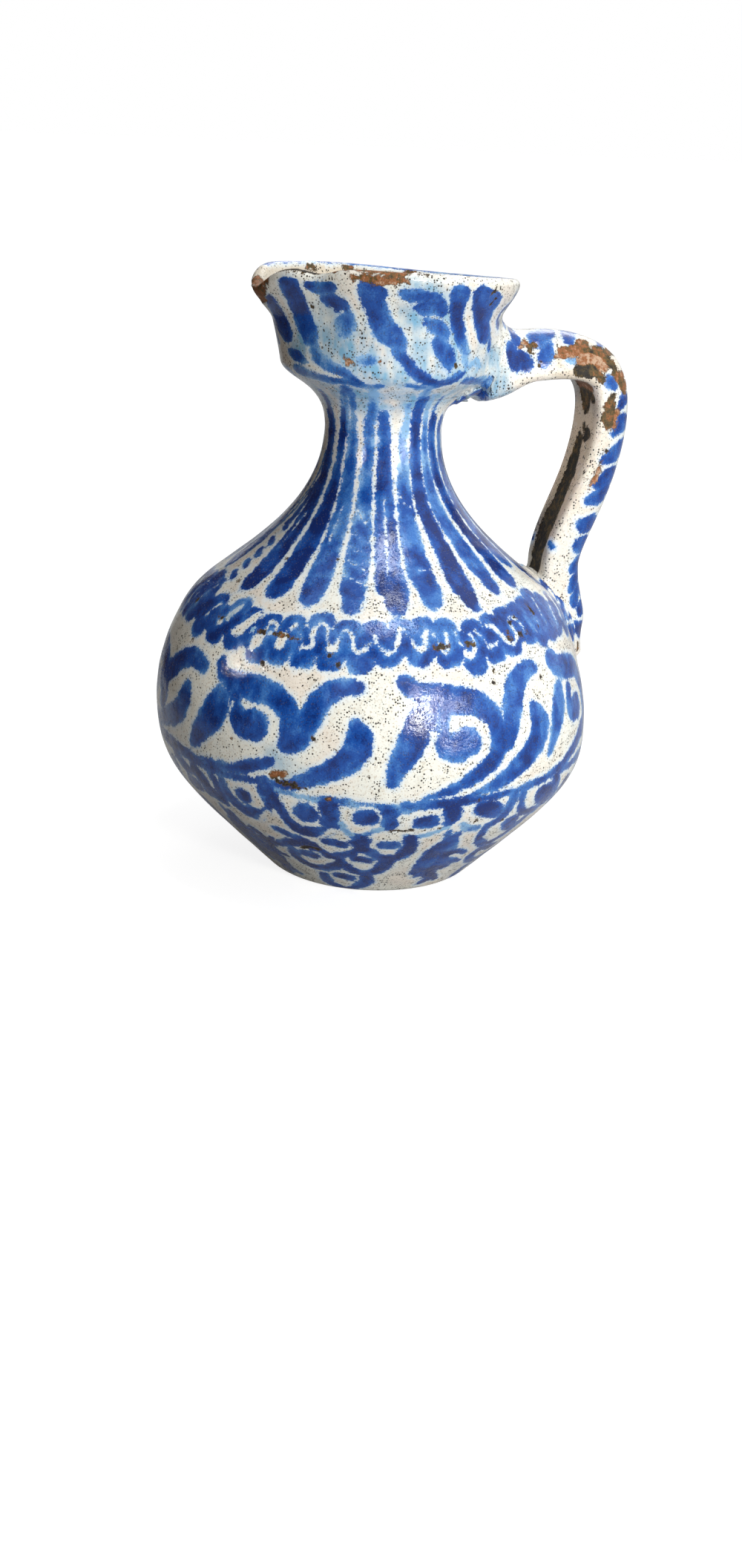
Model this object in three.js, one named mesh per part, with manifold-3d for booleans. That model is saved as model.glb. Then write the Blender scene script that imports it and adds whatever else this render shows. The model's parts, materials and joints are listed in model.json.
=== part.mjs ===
// Pouring jug in tin-glazed earthenware, in its five clay members: the thrown body, the flared collar
// with its pinched beak, the pulled strap handle, and the two lutings that fix the handle.
// Millimetres, +Z up. The origin is the centre of the base, the handle is on +X and the beak on -X.

import * as THREE from 'three';
import { mergeVertices } from 'three/addons/utils/BufferGeometryUtils.js';
import Module from 'manifold-3d';

const wasm = await Module();
wasm.setup();

// The jug's height from its base to the flare of the lip
const JUG_HEIGHT = 260.5;

// Thrown body: each station is a radius and a level, which is a share of the jug's height
const BASE_RADIUS = 41.5;
const FOOT_EDGE_SPREAD = 6;
const FOOT_EDGE_RISE = 3;
const BELLY_RADIUS = 96;
const BELLY_LEVEL = 0.287;
const SHOULDER_RADIUS = 79.7;
const SHOULDER_LEVEL = 0.48;
const WAIST_RADIUS = 25.2;
const WAIST_LEVEL = 0.758;
const NECK_TOP_RADIUS = 31.6;
const NECK_TOP_LEVEL = 0.8177;

// Thrown body: slopes in degrees from level, and the length of each curve's pull at its ends
const UNDERBELLY_SLOPE = 44.2;
const UNDERBELLY_PULL = 60;
const BELLY_PULL_BELOW = 25;
const BELLY_PULL_ABOVE = 19;
const SHOULDER_SLOPE = 48.7;
const SHOULDER_PULL_BELOW = 10.3;
const SHOULDER_PULL_ABOVE = 19.3;
const WAIST_PULL_BELOW = 38.3;
const WAIST_PULL_ABOVE = 8;
const NECK_TOP_SLOPE = 44;
const NECK_TOP_PULL = 5;

// Walls
const BODY_WALL = 6;
const FLOOR = 8;
const FLOOR_CORNER = 3;
const COLLAR_WALL = 5.4;
const SEAT_MARGIN = 1;

// Collar, thrown as a round flared ring: stations as on the body
const COVE_RADIUS = 44.8;
const COVE_LEVEL = 0.8637;
const COVE_PULL_BELOW = 6.5;
const COVE_PULL_ABOVE = 4.5;
const LIP_BASE_RADIUS = 47.4;
const LIP_BASE_LEVEL = 0.9405;
const LIP_BASE_PULL = 4.5;
const LIP_RADIUS = 54.9;
const LIP_PULL = 4.8;

// Collar, after the fingers: the beak pushed out, a thumb and a finger pinched in beside it, and the
// uneven rim. Angles are in degrees from +X, and a spread is the turn where a push has faded to a third.
const BEAK_ANGLE = 180;
const BEAK_REACH = 3.8;
const BEAK_SPREAD = 30;
const BEAK_DROP = 8.5;
const BEAK_DROP_SPREAD = 18;
const THUMB_ANGLE = -140;
const THUMB_DEPTH = 3;
const THUMB_DIP = 2.6;
const THUMB_SPREAD = 11;
const FINGER_ANGLE = 135;
const FINGER_DEPTH = 3;
const FINGER_SPREAD = 15;
const PUSH_EASE = 1.8;
const RIM_TILT = 3;
const RIM_HIGH_ANGLE = -130;

// Handle: centre line in the XZ plane, out of the collar, over the bend and down to the shoulder
const ROOT_DEPTH = 4.8;
const ROOT_RISE = 12.4;
const ROOT_SLOPE = 13.5;
const ROOT_PULL = 42;
const BEND_REACH = 54.3;
const BEND_DROP = 22;
const BEND_PULL_ABOVE = 27;
const BEND_PULL_BELOW = 30;
const KNEE_RISE = 62.2;
const KNEE_STANDOFF = 18.5;
const KNEE_PULL_ABOVE = 14;
const KNEE_PULL_BELOW = 14;
const TAIL_RISE = 22;
const TAIL_STANDOFF = 1.2;
const TAIL_PULL = 14;

// Handle section: a D with its flat towards the jug. These are shares of its thickness and its width.
const FLAT_CORNER = 0.14;
const SIDE_CORNER = 0.16;
const DOME_SHOULDER = 0.62;
const DOME_CROWN = 0.34;

// Handle sizes at named places along it, where whole numbers are the ends of the three curves
const ROOT_THICKNESS = 24;
const ROOT_WIDTH = 36;
const CROWN_PLACE = 0.55;
const CROWN_THICKNESS = 18.6;
const CROWN_WIDTH = 33;
const BEND_THICKNESS = 18.2;
const BEND_WIDTH = 32;
const BACK_PLACE = 1.5;
const BACK_THICKNESS = 18;
const BACK_WIDTH = 29;
const KNEE_THICKNESS = 18.2;
const KNEE_WIDTH = 26;
const PRESS_PLACE = 2.6;
const PRESS_THICKNESS = 21;
const PRESS_WIDTH = 25;
const TAIL_THICKNESS = 10;
const TAIL_WIDTH = 22;

// Lutings: the wad under the root, and the pad that the tail is pressed on
const WAD_REACH = 10;
const WAD_SETBACK = 2;
const WAD_HALF_WIDTH = 13;
const WAD_HALF_HEIGHT = 5;
const WAD_DROP = 10;
const PAD_LAYER = 2;
const PAD_MARGIN = 3.4;
const PAD_PROUD = 5;

// Gap left between members that were pressed together
const CLEARANCE = 0.3;

// Faceting
const AROUND = 56;
const HANDLE_STEPS = 34;
const SECTION_POINTS = 5;
const RIM_POINTS = 4;
const LUTING_AROUND = 20;
const LUTING_RINGS = 10;

// Heights of the stations above the base
const bellyHeight = JUG_HEIGHT * BELLY_LEVEL;
const shoulderHeight = JUG_HEIGHT * SHOULDER_LEVEL;
const waistHeight = JUG_HEIGHT * WAIST_LEVEL;
const neckTop = JUG_HEIGHT * NECK_TOP_LEVEL;
const coveHeight = JUG_HEIGHT * COVE_LEVEL;
const lipBaseHeight = JUG_HEIGHT * LIP_BASE_LEVEL;

const radians = THREE.MathUtils.degToRad;
const degrees = THREE.MathUtils.radToDeg;

// A point moved a distance along a direction given in degrees from level
function polar(origin, slope, distance) {
  const angle = radians(slope);
  return new THREE.Vector2(
    origin.x + distance * Math.cos(angle),
    origin.y + distance * Math.sin(angle),
  );
}

// Outlines are half sections in radius and height, drawn upwards on the outside

function bodyOutline() {
  const footEdge = new THREE.Vector2(BASE_RADIUS + FOOT_EDGE_SPREAD, FOOT_EDGE_RISE);
  const belly = new THREE.Vector2(BELLY_RADIUS, bellyHeight);
  const shoulder = new THREE.Vector2(SHOULDER_RADIUS, shoulderHeight);
  const waist = new THREE.Vector2(WAIST_RADIUS, waistHeight);
  const top = new THREE.Vector2(NECK_TOP_RADIUS, neckTop);

  const foot = new THREE.QuadraticBezierCurve(
    new THREE.Vector2(BASE_RADIUS, 0),
    polar(footEdge, UNDERBELLY_SLOPE, -FOOT_EDGE_RISE),
    footEdge,
  );
  const underbelly = new THREE.CubicBezierCurve(
    footEdge,
    polar(footEdge, UNDERBELLY_SLOPE, UNDERBELLY_PULL),
    polar(belly, 90, -BELLY_PULL_BELOW),
    belly,
  );
  const upperBelly = new THREE.CubicBezierCurve(
    belly,
    polar(belly, 90, BELLY_PULL_ABOVE),
    polar(shoulder, -SHOULDER_SLOPE, SHOULDER_PULL_BELOW),
    shoulder,
  );
  const sweep = new THREE.CubicBezierCurve(
    shoulder,
    polar(shoulder, -SHOULDER_SLOPE, -SHOULDER_PULL_ABOVE),
    polar(waist, 90, -WAIST_PULL_BELOW),
    waist,
  );
  const flare = new THREE.CubicBezierCurve(
    waist,
    polar(waist, 90, WAIST_PULL_ABOVE),
    polar(top, NECK_TOP_SLOPE, -NECK_TOP_PULL),
    top,
  );
  return joined([[foot, 2], [underbelly, 9], [upperBelly, 6], [sweep, 9], [flare, 4]]);
}

function collarOutline() {
  const seat = new THREE.Vector2(NECK_TOP_RADIUS, neckTop);
  const cove = new THREE.Vector2(COVE_RADIUS, coveHeight);
  const lipBase = new THREE.Vector2(LIP_BASE_RADIUS, lipBaseHeight);
  const lip = new THREE.Vector2(LIP_RADIUS, JUG_HEIGHT);
  const wallSlope = degrees(lipBase.clone().sub(cove).angle());
  const under = new THREE.CubicBezierCurve(
    seat,
    polar(seat, NECK_TOP_SLOPE, COVE_PULL_BELOW),
    polar(cove, wallSlope, -COVE_PULL_ABOVE),
    cove,
  );
  const wall = new THREE.LineCurve(cove, lipBase);
  const flare = new THREE.CubicBezierCurve(
    lipBase,
    polar(lipBase, wallSlope, LIP_BASE_PULL),
    polar(lip, wallSlope, -LIP_PULL),
    lip,
  );
  return joined([[under, 4], [wall, 2], [flare, 5]]);
}

// One list of points from curves that follow each other
function joined(pieces) {
  const points = [pieces[0][0].getPoint(0)];
  for (const [curve, steps] of pieces) points.push(...curve.getPoints(steps).slice(1));
  return points;
}

// An outline moved square to itself: outwards when the distance is positive
function offset(points, distance) {
  return points.map((point, i) => {
    const before = points[Math.max(i - 1, 0)];
    const after = points[Math.min(i + 1, points.length - 1)];
    const along = after.clone().sub(before).normalize();
    return new THREE.Vector2(point.x + along.y * distance, point.y - along.x * distance);
  });
}

// The radius of an outline at a height
function radiusAt(points, height) {
  for (let i = 1; i < points.length; i += 1) {
    const low = points[i - 1];
    const high = points[i];
    if (height >= low.y && height <= high.y) {
      return THREE.MathUtils.mapLinear(height, low.y, high.y, low.x, high.x);
    }
  }
  return points[points.length - 1].x;
}

const bodyLine = bodyOutline();
const collarLine = collarOutline();

// Half section of the hollow body: base, outside, seat for the collar, inside and floor
function bodySection() {
  const inside = offset(bodyLine, -BODY_WALL).reverse();
  const wall = inside.filter((point) => (
    point.y > FLOOR + FLOOR_CORNER && point.y < neckTop - SEAT_MARGIN
  ));
  const corner = wall[wall.length - 1].x - FLOOR_CORNER;
  return [
    new THREE.Vector2(0, 0),
    ...bodyLine,
    new THREE.Vector2(NECK_TOP_RADIUS - BODY_WALL, neckTop),
    ...wall,
    new THREE.Vector2(corner, FLOOR),
    new THREE.Vector2(0, FLOOR),
  ];
}

// Half section of the collar: outside, rounded rim, inside and the seat on the neck
function collarSection() {
  const outside = collarLine;
  const inside = offset(collarLine, -COLLAR_WALL).reverse();
  const wall = inside.filter((point) => point.y > neckTop + SEAT_MARGIN);
  const edge = outside[outside.length - 1];
  const rim = new THREE.Vector2().addVectors(edge, wall[0]).multiplyScalar(0.5);
  const rimPoints = [];
  for (let i = 1; i <= RIM_POINTS; i += 1) {
    const turn = Math.PI * i / (RIM_POINTS + 1);
    rimPoints.push(edge.clone().rotateAround(rim, turn));
  }
  return [
    ...outside,
    ...rimPoints,
    ...wall,
    new THREE.Vector2(NECK_TOP_RADIUS - BODY_WALL, neckTop),
    outside[0],
  ];
}

// A closed mesh with its shared corners merged and its collapsed triangles left out
function closedMesh(geometry) {
  geometry.deleteAttribute('normal');
  geometry.deleteAttribute('uv');
  const merged = mergeVertices(geometry);
  const corners = merged.getIndex().array;
  const kept = [];
  for (let i = 0; i < corners.length; i += 3) {
    const [a, b, c] = corners.slice(i, i + 3);
    if (a !== b && b !== c && c !== a) kept.push(a, b, c);
  }
  merged.setIndex(kept);
  return merged;
}

function revolved(section) {
  return closedMesh(new THREE.LatheGeometry(section, AROUND).rotateX(Math.PI / 2));
}

// The bell curve of a push that fades with the turn from its middle, all in degrees
function fade(angle, middle, spread) {
  const turn = radians(angle - middle);
  const nearest = degrees(Math.atan2(Math.sin(turn), Math.cos(turn)));
  return Math.exp(-((nearest / spread) ** 2));
}

// The fingers' work on the round collar, from nothing at the seat to the most at the rim
function pinched(geometry) {
  const position = geometry.getAttribute('position');
  const point = new THREE.Vector3();
  for (let i = 0; i < position.count; i += 1) {
    point.fromBufferAttribute(position, i);
    const angle = degrees(Math.atan2(point.y, point.x));
    const rise = Math.max(point.z - neckTop, 0) / (JUG_HEIGHT - neckTop);
    const eased = rise ** PUSH_EASE;
    const thumb = fade(angle, THUMB_ANGLE, THUMB_SPREAD);
    const finger = fade(angle, FINGER_ANGLE, FINGER_SPREAD);
    const beak = BEAK_REACH * fade(angle, BEAK_ANGLE, BEAK_SPREAD);
    const push = beak - THUMB_DEPTH * thumb - FINGER_DEPTH * finger;
    const drop = BEAK_DROP * fade(angle, BEAK_ANGLE, BEAK_DROP_SPREAD) + THUMB_DIP * thumb;
    const tilt = RIM_TILT * Math.cos(radians(angle - RIM_HIGH_ANGLE));
    const radius = Math.hypot(point.x, point.y);
    const scale = radius > 0 ? (radius + eased * push) / radius : 1;
    position.setXYZ(i, point.x * scale, point.y * scale, point.z + eased * (tilt - drop));
  }
  return geometry;
}

// The handle's centre line: root to bend, bend to knee, knee to tail
function handleLine() {
  const rootHeight = neckTop + ROOT_RISE;
  const root = new THREE.Vector2(radiusAt(collarLine, rootHeight) - ROOT_DEPTH, rootHeight);
  const bend = new THREE.Vector2(LIP_BASE_RADIUS + BEND_REACH, rootHeight - BEND_DROP);
  const kneeHeight = bellyHeight + KNEE_RISE;
  const knee = new THREE.Vector2(radiusAt(bodyLine, kneeHeight) + KNEE_STANDOFF, kneeHeight);
  const tailHeight = bellyHeight + TAIL_RISE;
  const tail = new THREE.Vector2(radiusAt(bodyLine, tailHeight) + TAIL_STANDOFF, tailHeight);
  const above = radiusAt(bodyLine, tailHeight + TAIL_PULL) + TAIL_STANDOFF;
  return [
    new THREE.CubicBezierCurve(
      root,
      polar(root, ROOT_SLOPE, ROOT_PULL),
      polar(bend, 90, BEND_PULL_ABOVE),
      bend,
    ),
    new THREE.CubicBezierCurve(
      bend,
      polar(bend, -90, BEND_PULL_BELOW),
      polar(knee, 90, KNEE_PULL_ABOVE),
      knee,
    ),
    new THREE.CubicBezierCurve(
      knee,
      polar(knee, -90, KNEE_PULL_BELOW),
      new THREE.Vector2(above, tailHeight + TAIL_PULL),
      tail,
    ),
  ];
}

const handleCurves = handleLine();

// Thickness and width at the named places
const HANDLE_SIZES = [
  [0, ROOT_THICKNESS, ROOT_WIDTH],
  [CROWN_PLACE, CROWN_THICKNESS, CROWN_WIDTH],
  [1, BEND_THICKNESS, BEND_WIDTH],
  [BACK_PLACE, BACK_THICKNESS, BACK_WIDTH],
  [2, KNEE_THICKNESS, KNEE_WIDTH],
  [PRESS_PLACE, PRESS_THICKNESS, PRESS_WIDTH],
  [handleCurves.length, TAIL_THICKNESS, TAIL_WIDTH],
];

function handleSize(place) {
  const next = Math.max(HANDLE_SIZES.findIndex(([at]) => at >= place), 1);
  const [from, thickBefore, wideBefore] = HANDLE_SIZES[next - 1];
  const [to, thickAfter, wideAfter] = HANDLE_SIZES[next];
  const mix = THREE.MathUtils.smoothstep(place, from, to);
  return {
    thickness: THREE.MathUtils.lerp(thickBefore, thickAfter, mix),
    width: THREE.MathUtils.lerp(wideBefore, wideAfter, mix),
  };
}

// The D section one unit thick and wide: flat on the left, domed on the right
function handleSection() {
  const half = 0.5;
  const flatEnd = half - FLAT_CORNER;
  const sideEnd = SIDE_CORNER - half;
  const shoulder = DOME_SHOULDER - half;
  const shape = new THREE.Shape();
  shape.moveTo(-half, -flatEnd);
  shape.quadraticCurveTo(-half, -half, sideEnd, -half);
  shape.bezierCurveTo(shoulder, -half, half, -DOME_CROWN, half, 0);
  shape.bezierCurveTo(half, DOME_CROWN, shoulder, half, sideEnd, half);
  shape.quadraticCurveTo(-half, half, -half, flatEnd);
  shape.closePath();
  return shape;
}

// A straight bar of unit sections bent along the centre line and drawn to its sizes
function strap(grow) {
  const bar = new THREE.ExtrudeGeometry(handleSection(), {
    depth: 1,
    steps: HANDLE_STEPS,
    bevelEnabled: false,
    curveSegments: SECTION_POINTS,
  });
  const position = bar.getAttribute('position');
  const point = new THREE.Vector3();
  for (let i = 0; i < position.count; i += 1) {
    point.fromBufferAttribute(position, i);
    const place = THREE.MathUtils.clamp(point.z, 0, 1) * handleCurves.length;
    const index = Math.min(Math.floor(place), handleCurves.length - 1);
    const curve = handleCurves[index];
    const centre = curve.getPoint(place - index);
    const along = curve.getTangent(place - index);
    const { thickness, width } = handleSize(place);
    const outward = point.x * (thickness + 2 * grow);
    position.setXYZ(
      i,
      centre.x - along.y * outward,
      -point.y * (width + 2 * grow),
      centre.y + along.x * outward,
    );
  }
  return closedMesh(bar);
}

function toSolid(geometry) {
  return new wasm.Manifold(new wasm.Mesh({
    numProp: 3,
    vertProperties: Float32Array.from(geometry.getAttribute('position').array),
    triVerts: Uint32Array.from(geometry.getIndex().array),
  }));
}

function toGeometry(solid) {
  const mesh = solid.getMesh();
  const geometry = new THREE.BufferGeometry();
  geometry.setAttribute('position', new THREE.BufferAttribute(mesh.vertProperties, 3));
  geometry.setIndex(new THREE.BufferAttribute(mesh.triVerts, 1));
  return geometry;
}

// The outer form of a member as a filled block, a little larger all round
function filled(line, grow) {
  const outer = offset(line, grow);
  const first = outer[0];
  const last = outer[outer.length - 1];
  return revolved([
    new THREE.Vector2(0, first.y),
    ...outer,
    new THREE.Vector2(0, last.y),
  ]);
}

function bodyBlock(grow) {
  return toSolid(filled(bodyLine, grow));
}

const bodyCutter = bodyBlock(CLEARANCE);
const collarCutter = toSolid(pinched(filled(collarLine, CLEARANCE)));

// The handle with the collar and the pad's layer over the body taken out of it
const handleSolid = toSolid(strap(0)).subtract(collarCutter).subtract(bodyBlock(PAD_LAYER));
const handleCutter = toSolid(strap(CLEARANCE)).subtract(bodyBlock(PAD_LAYER - CLEARANCE));

// The wad that fills the corner between the neck, the collar's underside and the handle's root
function upperLuting() {
  const root = handleCurves[0].getPoint(0);
  const wad = new THREE.SphereGeometry(1, LUTING_AROUND, LUTING_RINGS);
  wad.scale(WAD_REACH, WAD_HALF_WIDTH, WAD_HALF_HEIGHT);
  wad.translate(root.x - WAD_SETBACK, 0, root.y - WAD_DROP);
  return toSolid(closedMesh(wad))
    .subtract(bodyCutter)
    .subtract(collarCutter)
    .subtract(handleCutter);
}

// The pad under the tail: a flattened ball of clay wrapped on the shoulder
function lowerLuting() {
  const pad = new THREE.SphereGeometry(1, LUTING_AROUND, LUTING_RINGS);
  const middle = bellyHeight + (KNEE_RISE + TAIL_RISE) / 2;
  const halfLength = (KNEE_RISE - TAIL_RISE) / 2 + PAD_MARGIN;
  const halfWidth = KNEE_WIDTH / 2 + PAD_MARGIN;
  const position = pad.getAttribute('position');
  const point = new THREE.Vector3();
  for (let i = 0; i < position.count; i += 1) {
    point.fromBufferAttribute(position, i);
    const height = middle + halfLength * point.z;
    const radius = radiusAt(bodyLine, height) + PAD_PROUD * point.x;
    const angle = halfWidth * point.y / radiusAt(bodyLine, middle);
    position.setXYZ(i, radius * Math.cos(angle), radius * Math.sin(angle), height);
  }
  return toSolid(closedMesh(pad)).subtract(bodyCutter).subtract(handleCutter);
}

function glaze(colour, roughness) {
  return new THREE.MeshStandardMaterial({ color: colour, roughness, metalness: 0 });
}

function member(name, geometry, material) {
  const mesh = new THREE.Mesh(geometry, material);
  mesh.name = name;
  return mesh;
}

const jug = new THREE.Group();
jug.add(member('thrown_body', revolved(bodySection()), glaze('#c9c3bd', 0.22)));
jug.add(member('mouth_collar', pinched(revolved(collarSection())), glaze('#b9c3cf', 0.22)));
jug.add(member('strap_handle', toGeometry(handleSolid), glaze('#c7c1b6', 0.25)));
jug.add(member('upper_handle_luting', toGeometry(upperLuting()), glaze('#b4bcc6', 0.25)));
jug.add(member('lower_handle_luting', toGeometry(lowerLuting()), glaze('#c4bcb0', 0.25)));

export default jug;
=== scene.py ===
# %% [markdown]
# # A tin-glazed pouring jug
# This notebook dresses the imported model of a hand-thrown earthenware jug, painted in cobalt blue on a
# white tin glaze. The jug has five clay members: the thrown body, the collar set on its neck, the strap
# handle, and the two lumps of soft clay that join the handle on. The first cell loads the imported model,
# which gives the place and the size of everything. All lengths below are in millimetres, and they become
# metres only when a mesh is made.

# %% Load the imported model
import json
import math

import bpy
import numpy as np
from mathutils import Matrix, Vector
from mathutils.bvhtree import BVHTree

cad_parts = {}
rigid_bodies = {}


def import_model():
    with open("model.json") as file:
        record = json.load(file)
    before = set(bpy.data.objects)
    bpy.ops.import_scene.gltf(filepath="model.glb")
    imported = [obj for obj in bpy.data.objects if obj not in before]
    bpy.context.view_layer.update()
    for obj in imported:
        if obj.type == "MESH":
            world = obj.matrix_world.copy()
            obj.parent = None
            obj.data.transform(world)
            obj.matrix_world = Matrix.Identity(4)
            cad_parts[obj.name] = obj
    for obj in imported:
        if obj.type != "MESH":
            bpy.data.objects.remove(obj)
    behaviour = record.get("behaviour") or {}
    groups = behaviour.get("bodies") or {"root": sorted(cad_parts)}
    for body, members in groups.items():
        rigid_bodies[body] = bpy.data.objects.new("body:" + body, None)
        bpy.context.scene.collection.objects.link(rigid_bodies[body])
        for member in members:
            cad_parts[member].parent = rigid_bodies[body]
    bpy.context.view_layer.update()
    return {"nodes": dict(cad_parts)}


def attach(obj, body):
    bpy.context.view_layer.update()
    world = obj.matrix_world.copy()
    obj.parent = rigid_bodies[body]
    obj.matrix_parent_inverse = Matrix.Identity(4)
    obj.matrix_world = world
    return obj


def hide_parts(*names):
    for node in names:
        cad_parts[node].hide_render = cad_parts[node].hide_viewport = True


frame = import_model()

MM = 0.001
print("members of the packed model:", ", ".join(sorted(frame["nodes"])))

# %% [markdown]
# ## Lines that a potter's hand draws
# Every outline of the jug is a chain of smooth curves. A cubic curve needs two end points and two pulls,
# and a pull is a point some way along the direction in which the curve leaves or arrives. It could be
# drawn with curve objects as well, but a list of points is easier to measure and to thicken.

# %% Curves in plain numbers
def toward(point, slope, distance):
    """A point moved a distance along a direction given in degrees from level."""
    angle = math.radians(slope)
    return (point[0] + distance * math.cos(angle), point[1] + distance * math.sin(angle))


def cubic(a, b, c, d, t):
    """Points and directions of a cubic curve at the shares t of its run."""
    a, b, c, d = (np.array(p, float) for p in (a, b, c, d))
    t = np.asarray(t, float)[:, None]
    points = (1 - t) ** 3 * a + 3 * (1 - t) ** 2 * t * b + 3 * (1 - t) * t * t * c + t ** 3 * d
    ways = (1 - t) ** 2 * (b - a) + 2 * (1 - t) * t * (c - b) + t * t * (d - c)
    return points, ways / np.linalg.norm(ways, axis=1, keepdims=True)


def evenly(points, spacing):
    """The same line with its points about one spacing apart; spacing may vary along it."""
    runs = np.r_[0, np.cumsum(np.linalg.norm(np.diff(points, axis=0), axis=1))]
    gap = spacing(points) if callable(spacing) else np.full(len(points), float(spacing))
    count = np.r_[0, np.cumsum(np.diff(runs) / (0.5 * (gap[1:] + gap[:-1])))]
    steps = max(int(round(count[-1])), 1)
    at = np.interp(np.linspace(0, count[-1], steps + 1), count, runs)
    return np.stack([np.interp(at, runs, points[:, i]) for i in range(points.shape[1])], 1)


def inset(points, depth):
    """A line moved square to itself, towards the axis of the jug."""
    way = np.gradient(points, axis=0)
    way /= np.linalg.norm(way, axis=1, keepdims=True)
    return points + depth * np.stack([-way[:, 1], way[:, 0]], 1)


def smooth_step(x):
    x = np.clip(x, 0, 1)
    return x * x * (3 - 2 * x)


SHARES = np.linspace(0, 1, 200)
print("curve helpers ready")

# %% [markdown]
# ## The outline of the body
# The body of the real jug is thrown: a ball of clay is opened, pulled up and pressed out from the inside
# while the wheel turns. Its half section goes from a narrow base up a steep cone to the belly, over the
# shoulder, and in to the waist of the neck. The inside follows one wall's thickness behind it. The rows
# are close together where there will be fine brushwork and wider on the neck, so that the mesh spends
# its faces where the eye looks. Faint throwing lines are pressed into the outside.

# %% Half section of the body
JUG_HEIGHT = 260.5
BASE_RADIUS, FOOT_RADIUS, FOOT_HEIGHT = 41.5, 47.5, 3.0
BELLY = (95.85, JUG_HEIGHT * 0.287)
SHOULDER = (79.7, JUG_HEIGHT * 0.48)
WAIST = (25.2, JUG_HEIGHT * 0.758)
NECK_TOP = (31.6, JUG_HEIGHT * 0.8177)
NECK_TOP_SLOPE = 44.0
BODY_WALL, FLOOR_DEPTH = 6.0, 8.0
FINE_ROWS_BELOW = 134.0
THROWING_LINE_DEPTH = 0.14

foot = (FOOT_RADIUS, FOOT_HEIGHT)
body_line = np.vstack([
    cubic((BASE_RADIUS, 0), (43.6, 0.0), (46.0, 1.5), foot, SHARES)[0],
    cubic(foot, toward(foot, 44.2, 60), toward(BELLY, 90, -25), BELLY, SHARES)[0][1:],
    cubic(BELLY, toward(BELLY, 90, 19), toward(SHOULDER, 131.3, -10.3), SHOULDER, SHARES)[0][1:],
    cubic(SHOULDER, toward(SHOULDER, 131.3, 19.3), toward(WAIST, 90, -38.3), WAIST, SHARES)[0][1:],
    cubic(WAIST, toward(WAIST, 90, 8), toward(NECK_TOP, NECK_TOP_SLOPE, -5), NECK_TOP, SHARES)[0][1:],
])


def body_radius(height):
    return np.interp(height, body_line[:, 1], body_line[:, 0])


def row_gap(points):
    fine = 1.08 + 1.3 * smooth_step((points[:, 1] - FINE_ROWS_BELOW) / 20)
    return np.where(points[:, 1] < 2.5, 0.9, fine) * 1


outside = evenly(body_line, row_gap)
heights = outside[:, 1]
rings = (0.5 + 0.5 * np.sin(heights / 1.9 + 1.4 * np.sin(heights / 11.0))) * (
    0.55 + 0.45 * np.sin(heights / 17.0 + 1.0))
fade_out = smooth_step((heights - 6) / 10) * smooth_step((208 - heights) / 12)
outside[:, 0] -= THROWING_LINE_DEPTH * rings * fade_out

behind = inset(body_line, BODY_WALL)
behind = behind[(behind[:, 1] > FLOOR_DEPTH + 4) & (behind[:, 1] < NECK_TOP[1] - 2)]
behind = evenly(behind[np.r_[True, np.diff(behind[:, 1]) > 0]], 14)[::-1]
corner = behind[-1]
body_section = np.vstack([
    [(0, 0), (20, 0)],
    outside,
    [(NECK_TOP[0] - BODY_WALL, NECK_TOP[1])],
    behind,
    [(corner[0] - 3, FLOOR_DEPTH + 1), (corner[0] - 7, FLOOR_DEPTH), (12, FLOOR_DEPTH), (0, FLOOR_DEPTH)],
])
print(f"body: {len(body_section)} rows, of which {len(outside)} on the outside")

# %% [markdown]
# ## Turning a section into a pot
# A lathe form follows one rule, so it is made with Geometry Nodes: a flat grid has one column for every
# step of the wheel and one row for every point of the half section. Each grid point looks up its row's
# radius and height in the section and is moved to its place round the axis. The columns are crowded
# together at the painted front by a sine wave added to the turn, and the last column closes on the first.

# %% A node tree that throws a pot
def node(tree, kind, inputs=(), **settings):
    """A node with its properties set, and its sockets given values or linked to outputs."""
    made = tree.nodes.new(kind)
    for name, value in settings.items():
        setattr(made, name, value)
    for socket, value in dict(inputs).items():
        if isinstance(value, bpy.types.NodeSocket):
            tree.links.new(value, made.inputs[socket])
        else:
            made.inputs[socket].default_value = value
    return made


def maths(tree, operation, a, b=0.0, c=0.0):
    made = node(tree, "ShaderNodeMath", {0: a, 1: b, 2: c}, operation=operation)
    return made.outputs[0]


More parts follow.
